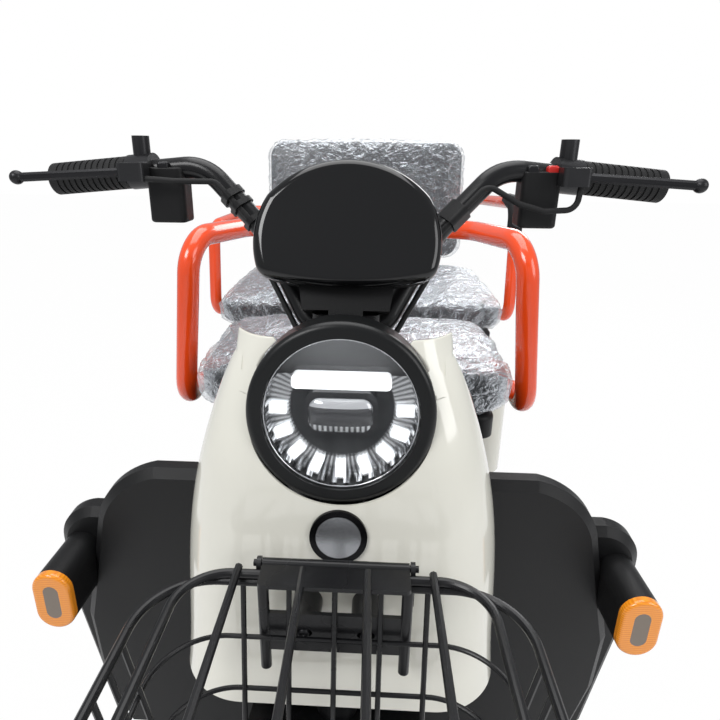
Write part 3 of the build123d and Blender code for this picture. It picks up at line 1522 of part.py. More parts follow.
# Passenger's seat: a flat pan with knuckles round the hinge rod, and a soft cushion
with BuildPart() as passenger_pan:
    pan_low_z = body_top_z + tub_wall + seat_gap
    pan_middle_y = (passenger_pan_front_y + passenger_pan_rear_y) / 2
    with BuildSketch(Plane(origin=(0, pan_middle_y, pan_low_z))):
        RectangleRounded(passenger_pan_half_width * 2, passenger_pan_rear_y - passenger_pan_front_y, pan_fillet)
    extrude(amount=passenger_pan_thickness)
    for side in (-1, 1):
        knuckle_plane = Plane(
            origin=(side * hinge_knuckle_x, hinge_y, hinge_z), x_dir=(0, 1, 0), z_dir=(1, 0, 0)
        )
        with BuildSketch(knuckle_plane):
            Circle(hinge_knuckle_radius)
        extrude(amount=hinge_knuckle_length / 2, both=True)
        tongue_y = (hinge_y + passenger_pan_front_y + pan_fillet) / 2
        with BuildSketch(Plane(origin=(side * hinge_knuckle_x, tongue_y, pan_low_z))):
            Rectangle(hinge_knuckle_length, passenger_pan_front_y + pan_fillet - hinge_y)
        extrude(amount=passenger_pan_thickness)
    with BuildSketch(Plane(origin=(0, hinge_y, hinge_z), x_dir=(0, 1, 0), z_dir=(1, 0, 0))):
        Circle(hinge_radius + running_clearance)
    extrude(amount=hinge_ear_x, both=True, mode=Mode.SUBTRACT)
passenger_pan.part.label = "passenger_pan"
export_step(passenger_pan.part, "parts/passenger_pan.step")

with BuildPart() as passenger_cushion:
    add(
        soft_block(
            passenger_half_width,
            passenger_front_y,
            passenger_rear_y,
            pan_low_z + passenger_pan_thickness + seat_gap,
            passenger_height,
            cushion_corner,
            cushion_edge,
        )
    )
passenger_cushion.part.label = "passenger_cushion"
export_step(passenger_cushion.part, "parts/passenger_cushion.step")

# Backrest: a soft block on a thin shell, held by a tube hoop with feet and a cross bar
back_angle = math.radians(back_lean)
back_plane = Plane(
    origin=(0, back_y, back_z), x_dir=(1, 0, 0), z_dir=(0, -math.cos(back_angle), math.sin(back_angle))
)
with BuildPart() as backrest:
    with BuildSketch(back_plane.offset(seat_gap)):
        RectangleRounded(back_half_width * 2, back_height, back_corner)
    extrude(amount=back_thickness)
    fillet(backrest.faces().sort_by(Axis.Y)[0].edges(), radius=back_edge)
backrest.part.label = "backrest"
export_step(backrest.part, "parts/backrest.step")

tube_off = back_shell_thickness + back_tube_radius * 0.8


def behind_back(x, z):
    """The place on the hoop's plane, behind the shell, at x and the height z."""
    y = back_y + (z - back_z) * math.tan(back_angle) + tube_off / math.cos(back_angle)
    return (x, y, z)


with BuildPart() as backrest_frame:
    with BuildSketch(back_plane.offset(-back_shell_thickness)):
        RectangleRounded((back_half_width - back_edge) * 2, back_height - back_edge * 2, back_corner)
    extrude(amount=back_shell_thickness)
    foot_z = body_top_z + back_foot_thickness / 2
    hoop_top_z = back_z + back_tube_rise * math.cos(back_angle)
    hoop = (
        behind_back(-back_tube_x, foot_z),
        behind_back(-back_tube_x, hoop_top_z),
        behind_back(back_tube_x, hoop_top_z),
        behind_back(back_tube_x, foot_z),
    )
    add(tube(hoop, [back_tube_bend, back_tube_bend], back_tube_radius))
    bar = [behind_back(row["side"] * back_bar_half_width, row["end_z"]) for row in rear_rails_table]
    add(tube(bar, [], back_tube_radius * 0.9))
    foot_y = behind_back(0, body_top_z)[1]
    with BuildSketch(Plane(origin=(0, foot_y, body_top_z))):
        with Locations((-back_tube_x, 0), (back_tube_x, 0)):
            RectangleRounded(back_foot_width, back_foot_length, back_foot_thickness)
    extrude(amount=back_foot_thickness)
    with BuildSketch(Plane(origin=(0, back_y, body_top_z))):
        Rectangle(body_half_width, body_half_width)
    extrude(amount=-overrun, mode=Mode.SUBTRACT)
backrest_frame.part.label = "backrest_frame"
export_step(backrest_frame.part, "parts/backrest_frame.step")

# Rear rails: from the body's sides out and forward, up, and back to the backrest's cross bar
with BuildPart() as rear_rails:
    for row in rear_rails_table:
        side = row["side"]
        bar_end = behind_back(side * back_bar_half_width, row["end_z"])
        rail_path = (
            (side * box_half_width, rear_rail_root_y, rear_rail_root_z),
            (side * rear_rail_out_x, rear_rail_root_y, rear_rail_root_z),
            (side * rear_leg_bottom_x, rear_leg_y, rear_leg_bottom_z),
            (side * rear_leg_top_x, rear_leg_y, row["top_z"]),
            (side * (back_bar_half_width + rear_rail_end_bend * 2), bar_end[1], row["end_z"]),
            bar_end,
        )
        bends = [rear_rail_end_bend, rear_rail_bend, rear_rail_bend, rear_rail_end_bend]
        add(tube(rail_path, bends, rear_rail_radius))
    add(rear_body.part, mode=Mode.SUBTRACT)
    add(backrest_frame.part, mode=Mode.SUBTRACT)
rear_rails.part.label = "rear_rails"
export_step(rear_rails.part, "parts/rear_rails.step")

# A rubber sleeve round the left rail's upper bend
with BuildPart() as rail_sleeve:
    left_row = rear_rails_table[0]
    sleeve_path = (
        (rear_leg_top_x, rear_leg_y, left_row["top_z"] - rear_rail_bend * 2),
        (rear_leg_top_x, rear_leg_y, left_row["top_z"]),
        (rear_leg_top_x, rear_leg_y + rear_rail_bend * 2, left_row["top_z"]),
    )
    add(tube(sleeve_path, [rear_rail_bend], sleeve_radius))
    add(rear_rails.part, mode=Mode.SUBTRACT)
rail_sleeve.part.label = "rail_sleeve"
export_step(rail_sleeve.part, "parts/rail_sleeve.step")

# Tail lamps on the body's rear wall
with BuildPart() as tail_lamps:
    for side in (-1, 1):
        with BuildSketch(Plane(origin=(side * tail_lamp_x, body_rear_y, tail_lamp_z), x_dir=(1, 0, 0), z_dir=(0, 1, 0))):
            RectangleRounded(tail_lamp_width, tail_lamp_height, tail_lamp_height / 3)
        extrude(amount=tail_lamp_depth)
    fillet(tail_lamps.faces().filter_by(Axis.Y).group_by(Axis.Y)[-1].edges(), radius=body_wall)
tail_lamps.part.label = "tail_lamps"
export_step(tail_lamps.part, "parts/tail_lamps.step")

# Rear bumper: arms from the frame's ends, a bent bar, and posts that hold the body's rear wall
with BuildPart() as rear_bumper:
    bumper_y = rear_end_y - bumper_radius
    add(
        tube(
            (
                (-bumper_half_width, bumper_y - bumper_bend * 1.5, frame_z),
                (-bumper_half_width, bumper_y, frame_z),
                (bumper_half_width, bumper_y, frame_z),
                (bumper_half_width, bumper_y - bumper_bend * 1.5, frame_z),
            ),
            [bumper_bend, bumper_bend],
            bumper_radius,
        )
    )
    for side in (-1, 1):
        x = side * frame_half_width
        post_y = body_rear_y - body_wall - seat_gap - bumper_arm_radius
        add(tube(((x, frame_rear_y, frame_z), (x, bumper_y, frame_z)), [], bumper_arm_radius * 1.1))
        add(tube(((x, post_y, frame_z), (x, post_y, frame_z + body_post_height)), [], bumper_arm_radius))
rear_bumper.part.label = "rear_bumper"
export_step(rear_bumper.part, "parts/rear_bumper.step")

# Blank number plate carrier on the body's rear wall, with two open holes
with BuildPart() as plate_carrier:
    with BuildSketch(plate_plane):
        RectangleRounded(plate_width, plate_height, plate_thickness * 3)
        with Locations((-plate_hole_spacing / 2, 0), (plate_hole_spacing / 2, 0)):
            Circle(plate_hole_radius, mode=Mode.SUBTRACT)
    extrude(amount=plate_thickness)
plate_carrier.part.label = "plate_carrier"
export_step(plate_carrier.part, "parts/plate_carrier.step")
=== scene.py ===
# %% [markdown]
# # Dressing an electric tricycle
# The frame, wheels, rails, lamp and body panels come from the CAD model and keep their places.
# This notebook gives them their finishes and builds what is soft or finely textured: the seats
# with their clear film, the tyres' tread, the screws and the lamp's small parts.

# %% Load the solid model
import math

import bpy
import numpy as np
from mathutils import Matrix, Vector


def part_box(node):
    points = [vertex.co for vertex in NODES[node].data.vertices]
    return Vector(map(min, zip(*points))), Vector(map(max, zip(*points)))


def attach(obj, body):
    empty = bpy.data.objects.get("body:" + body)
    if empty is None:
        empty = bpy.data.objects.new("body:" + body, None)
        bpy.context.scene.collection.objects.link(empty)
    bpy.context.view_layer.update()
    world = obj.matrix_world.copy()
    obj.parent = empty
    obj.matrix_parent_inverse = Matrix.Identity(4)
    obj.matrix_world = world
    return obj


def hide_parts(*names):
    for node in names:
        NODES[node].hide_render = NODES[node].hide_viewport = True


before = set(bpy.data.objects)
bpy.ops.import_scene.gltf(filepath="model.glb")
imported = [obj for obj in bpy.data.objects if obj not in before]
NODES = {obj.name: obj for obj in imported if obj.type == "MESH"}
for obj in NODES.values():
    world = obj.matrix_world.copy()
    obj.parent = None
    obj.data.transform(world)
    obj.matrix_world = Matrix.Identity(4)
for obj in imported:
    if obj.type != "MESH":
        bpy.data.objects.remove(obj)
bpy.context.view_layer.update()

# %% [markdown]
# ## Camera
# The photograph was taken with a wide lens from just in front of the basket, a little above the
# handlebar, tilted down. A 28 mm lens on a 36 mm sensor gives the same strong perspective. The
# camera's axes are worked out from three angles: pitch, yaw and a slight roll. The photograph is
# cropped a little off centre, which the lens shift repeats.

# %% Place the camera
PITCH, YAW, ROLL = math.radians(20.0), math.radians(2.7), math.radians(0.6)
CAMERA_PLACE = Vector((0.024, -0.990, 1.030))
LENS_MM, SENSOR_MM, SIDE_SHIFT = 28.0, 36.0, 0.0222
NEAREST_SEEN = 0.01

level_reach = math.cos(PITCH)
forward = Vector((-math.sin(YAW) * level_reach, math.cos(YAW) * level_reach, -math.sin(PITCH)))
right = Vector((math.cos(YAW), math.sin(YAW), 0.0))
up = right.cross(forward)
turn = Matrix.Rotation(-ROLL, 3, forward)
right, up = turn @ right, turn @ up

camera_data = bpy.data.cameras.new("camera")
camera_data.lens = LENS_MM
camera_data.sensor_width = SENSOR_MM
camera_data.shift_x = SIDE_SHIFT
camera_data.clip_start = NEAREST_SEEN
camera = bpy.data.objects.new("camera", camera_data)
bpy.context.scene.collection.objects.link(camera)
rows = Matrix((right, up, -forward)).transposed()
camera.matrix_world = Matrix.Translation(CAMERA_PLACE) @ rows.to_4x4()
bpy.context.scene.camera = camera
print("camera at", tuple(CAMERA_PLACE))

# %% [markdown]
# ## Light, floor and background
# Product photographs use large soft lamps, so that gloss paint shows long gentle highlights and
# shadows stay open. Here four area lamps do this. The background is plain white: the world shows
# white to the camera and through glass, and a plain grey level lights the object. The floor is
# nearly all glow to the camera, so that only a breath of shadow is left on it, as on a picture
# that was cut out.

# %% World
WHITE = (1, 1, 1, 1)
LEVEL_COLOUR, LEVEL_STRENGTH = (0.95, 0.97, 1.0, 1), 0.42

bpy.context.scene.view_settings.view_transform = "Standard"
world = bpy.data.worlds.new("studio")
bpy.context.scene.world = world
world.use_nodes = True
tree = world.node_tree
tree.nodes.clear()
paths = tree.nodes.new("ShaderNodeLightPath")
seen = tree.nodes.new("ShaderNodeMath")
seen.operation = "MAXIMUM"
tree.links.new(paths.outputs["Is Camera Ray"], seen.inputs[0])
tree.links.new(paths.outputs["Is Transmission Ray"], seen.inputs[1])
white = tree.nodes.new("ShaderNodeBackground")
white.inputs["Color"].default_value = WHITE
white.inputs["Strength"].default_value = 1.0
level = tree.nodes.new("ShaderNodeBackground")
level.inputs["Color"].default_value = LEVEL_COLOUR
level.inputs["Strength"].default_value = LEVEL_STRENGTH
blend = tree.nodes.new("ShaderNodeMixShader")
tree.links.new(seen.outputs[0], blend.inputs[0])
tree.links.new(level.outputs[0], blend.inputs[1])
tree.links.new(white.outputs[0], blend.inputs[2])
sky = tree.nodes.new("ShaderNodeOutputWorld")
tree.links.new(blend.outputs[0], sky.inputs["Surface"])
print("world:", world.name, "level", LEVEL_STRENGTH)

# %% Floor
FLOOR_HALF = 14.0
GLOW_SHARE = 0.985
FLOOR_GREY = (0.86, 0.86, 0.86, 1)

floor_mesh = bpy.data.meshes.new("floor")
floor_corners = [(x * FLOOR_HALF, y * FLOOR_HALF, 0) for x, y in ((-1, -1), (1, -1), (1, 1), (-1, 1))]
floor_mesh.from_pydata(floor_corners, [], [(0, 1, 2, 3)])
floor = bpy.data.objects.new("floor", floor_mesh)
bpy.context.scene.collection.objects.link(floor)

floor_paint = bpy.data.materials.new("pale_floor")
floor_paint.use_nodes = True
tree = floor_paint.node_tree
tree.nodes.clear()
paths = tree.nodes.new("ShaderNodeLightPath")
share = tree.nodes.new("ShaderNodeMath")
share.operation = "MULTIPLY"
share.inputs[1].default_value = GLOW_SHARE
tree.links.new(paths.outputs["Is Camera Ray"], share.inputs[0])
matt = tree.nodes.new("ShaderNodeBsdfDiffuse")
matt.inputs["Color"].default_value = FLOOR_GREY
glow = tree.nodes.new("ShaderNodeEmission")
glow.inputs["Color"].default_value = WHITE
glow.inputs["Strength"].default_value = 1.0
blend = tree.nodes.new("ShaderNodeMixShader")
tree.links.new(share.outputs[0], blend.inputs[0])
tree.links.new(matt.outputs[0], blend.inputs[1])
tree.links.new(glow.outputs[0], blend.inputs[2])
sink = tree.nodes.new("ShaderNodeOutputMaterial")
tree.links.new(blend.outputs[0], sink.inputs["Surface"])
floor_mesh.materials.append(floor_paint)
print("floor side:", FLOOR_HALF * 2)


# %% Lamps
def area_lamp(name, place, target, size, power):
    """A soft lamp of (width, height) at a place, turned to face a target; power is in watts."""
    data = bpy.data.lights.new(name, "AREA")
    data.shape = "RECTANGLE"
    data.size, data.size_y = size
    data.energy = power
    lamp = bpy.data.objects.new(name, data)
    lamp.location = place
    lamp.rotation_euler = (Vector(target) - Vector(place)).to_track_quat("-Z", "Y").to_euler()
    bpy.context.scene.collection.objects.link(lamp)


area_lamp("key", (-1.6, -2.2, 2.9), (0, -0.4, 0.7), (1.6, 1.0), 46)
area_lamp("fill", (2.4, -1.8, 1.9), (0, -0.3, 0.7), (1.4, 1.8), 26)
area_lamp("top", (0, 0.2, 3.2), (0, 0.2, 0.6), (2.2, 2.6), 52)
area_lamp("rear", (1.4, 3.0, 2.2), (0, 0.4, 0.6), (1.8, 1.2), 30)

# %% [markdown]
# ## Finishes
# Every finish is one small node tree on a Principled shader. Numbers that hold all over the
# surface sit on the shader's own sockets. What varies comes from noise in Object coordinates:
# a slow drift in colour and roughness, and a fine bump for grain. A worn edge is found from the
# Geometry node's pointiness.


# %% A helper for finishes
SLOW_SCALE, SLOW_DETAIL, GRAIN_DETAIL = 9.0, 4.0, 3.0
DRIFT_FROM, DRIFT_TO = 0.3, 0.7
EDGE_FROM, EDGE_TO = 0.52, 0.62
WORN_GAIN, WORN_LIFT = 1.6, 0.06
GRAIN_DEPTH = 0.001


def finish(name, colour, rough, metal=0.0, grain=None, drift=0.06, rough_drift=0.06, wear=0.0,
           **sockets):
    """A Principled finish: colour and roughness drift on slow noise, and grain adds a fine bump.

    The colour runs from colour * (1 - drift) to colour * (1 + drift), and the roughness from
    rough - rough_drift to rough + rough_drift. grain is (scale per metre, bump strength). wear is
    how far a sharp edge turns to a paler colour. Other words name sockets of the shader.
    """
    made = bpy.data.materials.new(name)
    made.use_nodes = True
    nodes, links = made.node_tree.nodes, made.node_tree.links
    shader = nodes["Principled BSDF"]
    place = nodes.new("ShaderNodeTexCoord").outputs["Object"]
    slow = nodes.new("ShaderNodeTexNoise")
    slow.inputs["Scale"].default_value = SLOW_SCALE
    slow.inputs["Detail"].default_value = SLOW_DETAIL
    links.new(place, slow.inputs["Vector"])
    ramp = nodes.new("ShaderNodeValToRGB")
    ramp.color_ramp.elements[0].position = DRIFT_FROM
    ramp.color_ramp.elements[1].position = DRIFT_TO
    ramp.color_ramp.elements[0].color = [c * (1 - drift) for c in colour] + [1]
    ramp.color_ramp.elements[1].color = [min(1, c * (1 + drift)) for c in colour] + [1]
    links.new(slow.outputs["Fac"], ramp.inputs["Fac"])
    paint = ramp.outputs["Color"]
    if wear:
        shape = nodes.new("ShaderNodeNewGeometry")
        edge = nodes.new("ShaderNodeMapRange")
        edge.inputs["From Min"].default_value = EDGE_FROM
        edge.inputs["From Max"].default_value = EDGE_TO
        edge.inputs["To Max"].default_value = wear
        links.new(shape.outputs["Pointiness"], edge.inputs["Value"])
        mix = nodes.new("ShaderNodeMix")
        mix.data_type = "RGBA"
        mix.inputs["B"].default_value = [min(1, c * WORN_GAIN + WORN_LIFT) for c in colour] + [1]
        links.new(edge.outputs["Result"], mix.inputs["Factor"])
        links.new(paint, mix.inputs["A"])
        paint = mix.outputs["Result"]
    links.new(paint, shader.inputs["Base Color"])
    spread = nodes.new("ShaderNodeMapRange")
    spread.inputs["To Min"].default_value = max(0.0, rough - rough_drift)
    spread.inputs["To Max"].default_value = min(1.0, rough + rough_drift)
    links.new(slow.outputs["Fac"], spread.inputs["Value"])
    links.new(spread.outputs["Result"], shader.inputs["Roughness"])
    shader.inputs["Metallic"].default_value = metal
    if grain:
        fine = nodes.new("ShaderNodeTexNoise")
        fine.inputs["Scale"].default_value = grain[0]
        fine.inputs["Detail"].default_value = GRAIN_DETAIL
        links.new(place, fine.inputs["Vector"])
        bump = nodes.new("ShaderNodeBump")
        bump.inputs["Strength"].default_value = grain[1]
        bump.inputs["Distance"].default_value = GRAIN_DEPTH
        links.new(fine.outputs["Fac"], bump.inputs["Height"])
        links.new(bump.outputs["Normal"], shader.inputs["Normal"])
    for socket, value in sockets.items():
        shader.inputs[socket.replace("_", " ")].default_value = value
    return made


def dress(material, *names):
    """Gives solid pieces their finish in every material slot."""
    for name in names:
        mesh = NODES[name].data
        mesh.materials.clear()
        mesh.materials.append(material)
        for polygon in mesh.polygons:
            polygon.material_index = 0


# %% Finishes of the solid pieces
ivory = finish("ivory_gloss", (0.80, 0.785, 0.70), 0.13, drift=0.02, rough_drift=0.03,
               Coat_Weight=0.7, Coat_Roughness=0.04)
black_steel = finish("black_steel", (0.008, 0.008, 0.009), 0.28, grain=(700, 0.05), wear=0.12,
                     Specular_IOR_Level=0.36)
grained = finish("grained_plastic", (0.0085, 0.0085, 0.009), 0.44, grain=(1500, 0.22), drift=0.15,
                 Specular_IOR_Level=0.26)
smooth_black = finish("smooth_plastic", (0.004, 0.004, 0.0045), 0.10, drift=0.05, rough_drift=0.03,
                      Specular_IOR_Level=0.4, Coat_Weight=0.25, Coat_Roughness=0.03)
bezel_black = finish("bezel_plastic", (0.007, 0.0075, 0.008), 0.32, grain=(900, 0.06), drift=0.1,
                     Specular_IOR_Level=0.34)
orange = finish("orange_paint", (0.93, 0.075, 0.008), 0.22, drift=0.03, rough_drift=0.04,
                Coat_Weight=0.8, Coat_Roughness=0.06)
rubber = finish("rubber", (0.011, 0.011, 0.0115), 0.60, grain=(900, 0.2), drift=0.12,
                Specular_IOR_Level=0.3)
tyre_rubber = finish("tyre_rubber", (0.014, 0.014, 0.0145), 0.70, grain=(500, 0.25), drift=0.2,
                     Specular_IOR_Level=0.3)
cast_metal = finish("cast_metal", (0.30, 0.31, 0.32), 0.36, metal=1.0, grain=(600, 0.12))
motor_metal = finish("motor_metal", (0.10, 0.10, 0.105), 0.44, metal=1.0, grain=(400, 0.2))
spring_steel = finish("spring_steel", (0.42, 0.42, 0.43), 0.28, metal=1.0, grain=(500, 0.08))
battery_blue = finish("battery_case", (0.03, 0.05, 0.12), 0.5, grain=(700, 0.1))
lever_metal = finish("lever_metal", (0.02, 0.02, 0.022), 0.33, metal=0.6, grain=(900, 0.08), wear=0.3)
screen_glass = finish("screen_glass", (0.012, 0.014, 0.016), 0.07, drift=0.04, rough_drift=0.02)
clear = finish("lamp_glass", (0.97, 0.98, 0.99), 0.02, drift=0.005, rough_drift=0.01,
               Transmission_Weight=1.0, IOR=1.12, Alpha=0.35)
red_lens = finish("red_lens", (0.42, 0.008, 0.006), 0.15, drift=0.05, rough_drift=0.03,
                  Coat_Weight=0.6)
print("finishes:", len(bpy.data.materials))

# %% Each solid piece gets its finish
dress(ivory, "front_cowl", "rear_body")
dress(black_steel, "main_frame", "rear_axle", "fork", "handlebar", "basket", "basket_bracket",
      "basket_lid", "backrest_frame", "rear_bumper")
dress(grained, "leg_shield", "shoulder_panels", "floor_board", "driver_pan", "battery_box",
      "storage_tub", "passenger_pan", "cluster_housing", "switch_boxes", "signal_pods",
      "front_fender", "cable_clips", "plate_carrier")
dress(smooth_black, "cluster_visor", "inner_cover")
dress(bezel_black, "headlamp_bezel")
dress(orange, "driver_rail", "rear_rails")
dress(rubber, "grips", "rail_sleeve", "control_cables")
dress(tyre_rubber, "front_tyre", "rear_tyre_left", "rear_tyre_right")
dress(cast_metal, "front_rim", "rear_rim_left", "rear_rim_right")
dress(motor_metal, "motor")
dress(spring_steel, "rear_shocks")
dress(battery_blue, "battery_pack")
dress(lever_metal, "lever_perches", "brake_levers")
dress(screen_glass, "cluster_screen")
dress(clear, "headlamp_lens")
dress(red_lens, "tail_lamps")
dress(grained, "driver_cushion", "passenger_cushion", "backrest")
print("dressed:", len([piece for piece in NODES.values() if piece.data.materials]))

# %% [markdown]
# ## Finishes that change across one piece
# The lamp's reflector, its light blocks, the badge and the turn signals each have two or three
# finishes on one solid. Here a formula of the Object coordinates picks the part: small Math nodes
# are chained by a helper, so that a mask reads like the sum it is.


# %% Masks from coordinates
class Sums:
    """Chains Math nodes in one material, so that masks can be written as sums of x, y and z."""

    def __init__(self, made):
        self.tree = made.node_tree
        place = self.tree.nodes.new("ShaderNodeTexCoord").outputs["Object"]
        parts = self.tree.nodes.new("ShaderNodeSeparateXYZ")
        self.tree.links.new(place, parts.inputs[0])
        self.x, self.z = parts.outputs["X"], parts.outputs["Z"]

    def do(self, operation, *terms):
        """One Math node: each term is a number or an output of another node."""
        node = self.tree.nodes.new("ShaderNodeMath")
        node.operation = operation
        for socket, term in zip(node.inputs, terms):
            if isinstance(term, (int, float)):
                socket.default_value = term
            else:
                self.tree.links.new(term, socket)
        return node.outputs[0]

    def away(self, across, up_to, centre_x, centre_z, stretch_x=1.0, stretch_z=1.0):
        """The distance sqrt(dx^2 + dz^2) from a centre, each part divided by a stretch."""
        dx = self.do("DIVIDE", self.do("SUBTRACT", across, centre_x), stretch_x)
        dz = self.do("DIVIDE", self.do("SUBTRACT", up_to, centre_z), stretch_z)
        square_x, square_z = self.do("MULTIPLY", dx, dx), self.do("MULTIPLY", dz, dz)
        return self.do("SQRT", self.do("ADD", square_x, square_z))

    def waves(self, along, per_unit):
        """0.5 + 0.5 * sin(along * per_unit): stripes that run from 0 to 1 and back."""
        swing = self.do("SINE", self.do("MULTIPLY", along, per_unit))
        return self.do("ADD", 0.5, self.do("MULTIPLY", swing, 0.5))

    def pick(self, mask, first, second):
        """The first colour where the mask is 0 and the second where it is 1."""
        mix = self.tree.nodes.new("ShaderNodeMix")
        mix.data_type = "RGBA"
        for name, colour in (("A", first), ("B", second)):
            if isinstance(colour, tuple):
                mix.inputs[name].default_value = colour + (1,)
            else:
                self.tree.links.new(colour, mix.inputs[name])
        self.tree.links.new(mask, mix.inputs["Factor"])
        return mix.outputs["Result"]

    def put(self, output, socket):
        """Joins an output to a socket of the Principled shader."""
        self.tree.links.new(output, self.tree.nodes["Principled BSDF"].inputs[socket])


# %% Reflector: fluted metal ring with painted reflection stripes, dark glass inside it and a grey hood above
LAMP = (0.0, 0.8097)
GLASS_RADIUS = 0.0495
HOOD_FROM, HOOD_SHADE_FROM, HOOD_SHADE_SLOPE = 0.032, 0.030, 22.0
FLUTES = 84.0
METAL, NOT_METAL = 0.9, 0.75

reflector = finish("reflector_metal", (0.62, 0.63, 0.65), 0.12, metal=0.9, rough_drift=0.03)
sums = Sums(reflector)
inside = sums.do("LESS_THAN", sums.away(sums.x, sums.z, *LAMP), GLASS_RADIUS)
above = sums.do("GREATER_THAN", sums.z, LAMP[1] + HOOD_FROM)
angle = sums.do("ARCTAN2", sums.x, sums.do("SUBTRACT", sums.z, LAMP[1]))
# Painted reflection: the flutes show as dark and bright stripes in the metal's colour round the lamp.
metal = sums.pick(sums.waves(angle, FLUTES), (0.20, 0.205, 0.21), (0.80, 0.81, 0.83))
shade = sums.do("MULTIPLY", sums.do("SUBTRACT", sums.z, LAMP[1] + HOOD_SHADE_FROM), HOOD_SHADE_SLOPE)
hood = sums.pick(shade, (0.02, 0.02, 0.022), (0.42, 0.43, 0.44))
paint = sums.pick(inside, metal, (0.035, 0.037, 0.040))
sums.put(sums.pick(above, paint, hood), "Base Color")
plain = sums.do("MULTIPLY", sums.do("MAXIMUM", inside, above), NOT_METAL)
sums.put(sums.do("SUBTRACT", METAL, plain), "Metallic")
dress(reflector, "headlamp_reflector")
print("masked finish:", reflector.name)

# %% Light blocks: lit white, but the projector between them is dark glass
PROJECTOR_HALF_X, PROJECTOR_HALF_Z = 0.040, 0.0222
LIT = 0.85

optics = finish("lamp_optics", (0.92, 0.94, 0.96), 0.12, drift=0.01,
                Emission_Color=(0.96, 0.98, 1.0, 1))
sums = Sums(optics)
near_x = sums.do("LESS_THAN", sums.do("ABSOLUTE", sums.x), PROJECTOR_HALF_X)
off_z = sums.do("ABSOLUTE", sums.do("SUBTRACT", sums.z, LAMP[1]))
projector = sums.do("MULTIPLY", near_x, sums.do("LESS_THAN", off_z, PROJECTOR_HALF_Z))
sums.put(sums.pick(projector, (0.93, 0.95, 0.97), (0.03, 0.031, 0.034)), "Base Color")
sums.put(sums.do("SUBTRACT", LIT, sums.do("MULTIPLY", projector, LIT)), "Emission Strength")
dress(optics, "headlamp_lights")
print("masked finish:", optics.name)

# %% Badge: a blank silver oval in a black ring
BADGE_Z, BADGE_HALF_X, BADGE_HALF_Z = 0.697, 0.027, 0.026
OVAL_SHARE = 0.78

badge = finish("badge_metal", (0.45, 0.46, 0.48), 0.24, metal=0.8, grain=(1200, 0.08))
sums = Sums(badge)
from_middle = sums.away(sums.x, sums.z, 0.0, BADGE_Z, BADGE_HALF_X, BADGE_HALF_Z)
ring = sums.do("GREATER_THAN", from_middle, OVAL_SHARE)
sums.put(sums.pick(ring, (0.42, 0.43, 0.45), (0.012, 0.012, 0.013)), "Base Color")
dress(badge, "badge_disc")
print("masked finish:", badge.name)

# %% Turn signals: ribbed amber round a grey-brown oblong with round ends
SIGNAL_X, SIGNAL_Z = 0.316, 0.566
OBLONG_STRAIGHT, OBLONG_RADIUS = 0.013, 0.0085
LENS_RIBS = 2400.0

amber = finish("amber_lens", (0.93, 0.30, 0.015), 0.16, rough_drift=0.03, Coat_Weight=0.6,
               Coat_Roughness=0.05)
sums = Sums(amber)
off_z = sums.do("ABSOLUTE", sums.do("SUBTRACT", sums.z, SIGNAL_Z))
past_end = sums.do("MAXIMUM", sums.do("SUBTRACT", off_z, OBLONG_STRAIGHT), 0.0)
off_middle = sums.do("SUBTRACT", sums.do("ABSOLUTE", sums.x), SIGNAL_X)
oblong = sums.do("LESS_THAN", sums.away(off_middle, past_end, 0.0, 0.0), OBLONG_RADIUS)
glow = sums.pick(sums.waves(sums.z, LENS_RIBS), (0.80, 0.24, 0.012), (0.95, 0.34, 0.02))
sums.put(sums.pick(oblong, glow, (0.17, 0.13, 0.095)), "Base Color")
dress(amber, "signal_lenses")
print("masked finish:", amber.name)

# %% [markdown]
# ## Surfaces from numbers
# Soft and moulded pieces are grids of points: one parameter runs round the piece and one runs
# across it. A helper turns such a grid into a mesh, so each piece below only has to say where its
# points lie.


# %% Helpers for grids of points
def grid_piece(name, grid, material, body, cap_start=False, cap_end=False, loop=False):
    """A mesh from an array of points, rows by columns by 3, whose columns join round.

    A cap joins a whole end row to one more point at its middle; loop joins the last row to the
    first. The signed volume, a sum of corner . (corner x corner), tells which way the faces look.
    Where it is positive the columns are taken the other way round, so all faces look inwards.
    """
    middle = grid.reshape(-1, 3).mean(axis=0)
    a, b = grid[:-1] - middle, grid[1:] - middle
    volume = (np.roll(a, -1, axis=1) * np.cross(b, a)).sum()
    if volume > 0:
        grid = grid[:, ::-1]
    rows, columns = grid.shape[:2]
    index = np.arange(rows * columns).reshape(rows, columns)
    if loop:
        index = np.vstack([index, index[:1]])
    after = np.roll(index, -1, axis=1)
    quads = np.stack([index[:-1], after[:-1], after[1:], index[1:]], axis=-1).reshape(-1, 4)
    points = grid.reshape(-1, 3)
    faces = quads.tolist()
    if cap_start:
        pole = np.full(columns, len(points))
        points = np.vstack([points, grid[0].mean(axis=0)])
        faces += np.stack([np.roll(index[0], -1), index[0], pole], axis=-1).tolist()
    if cap_end:
        pole = np.full(columns, len(points))
        points = np.vstack([points, grid[-1].mean(axis=0)])
        faces += np.stack([index[-1], np.roll(index[-1], -1), pole], axis=-1).tolist()
    mesh = bpy.data.meshes.new(name)
    mesh.from_pydata(points.tolist(), [], faces)
    mesh.polygons.foreach_set("use_smooth", np.full(len(mesh.polygons), True))
    mesh.materials.append(material)
    mesh.update()
    piece = bpy.data.objects.new(name, mesh)
    bpy.context.scene.collection.objects.link(piece)
    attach(piece, body)
    return piece


# %% A rectangle with round corners
ARC_POINTS = 24


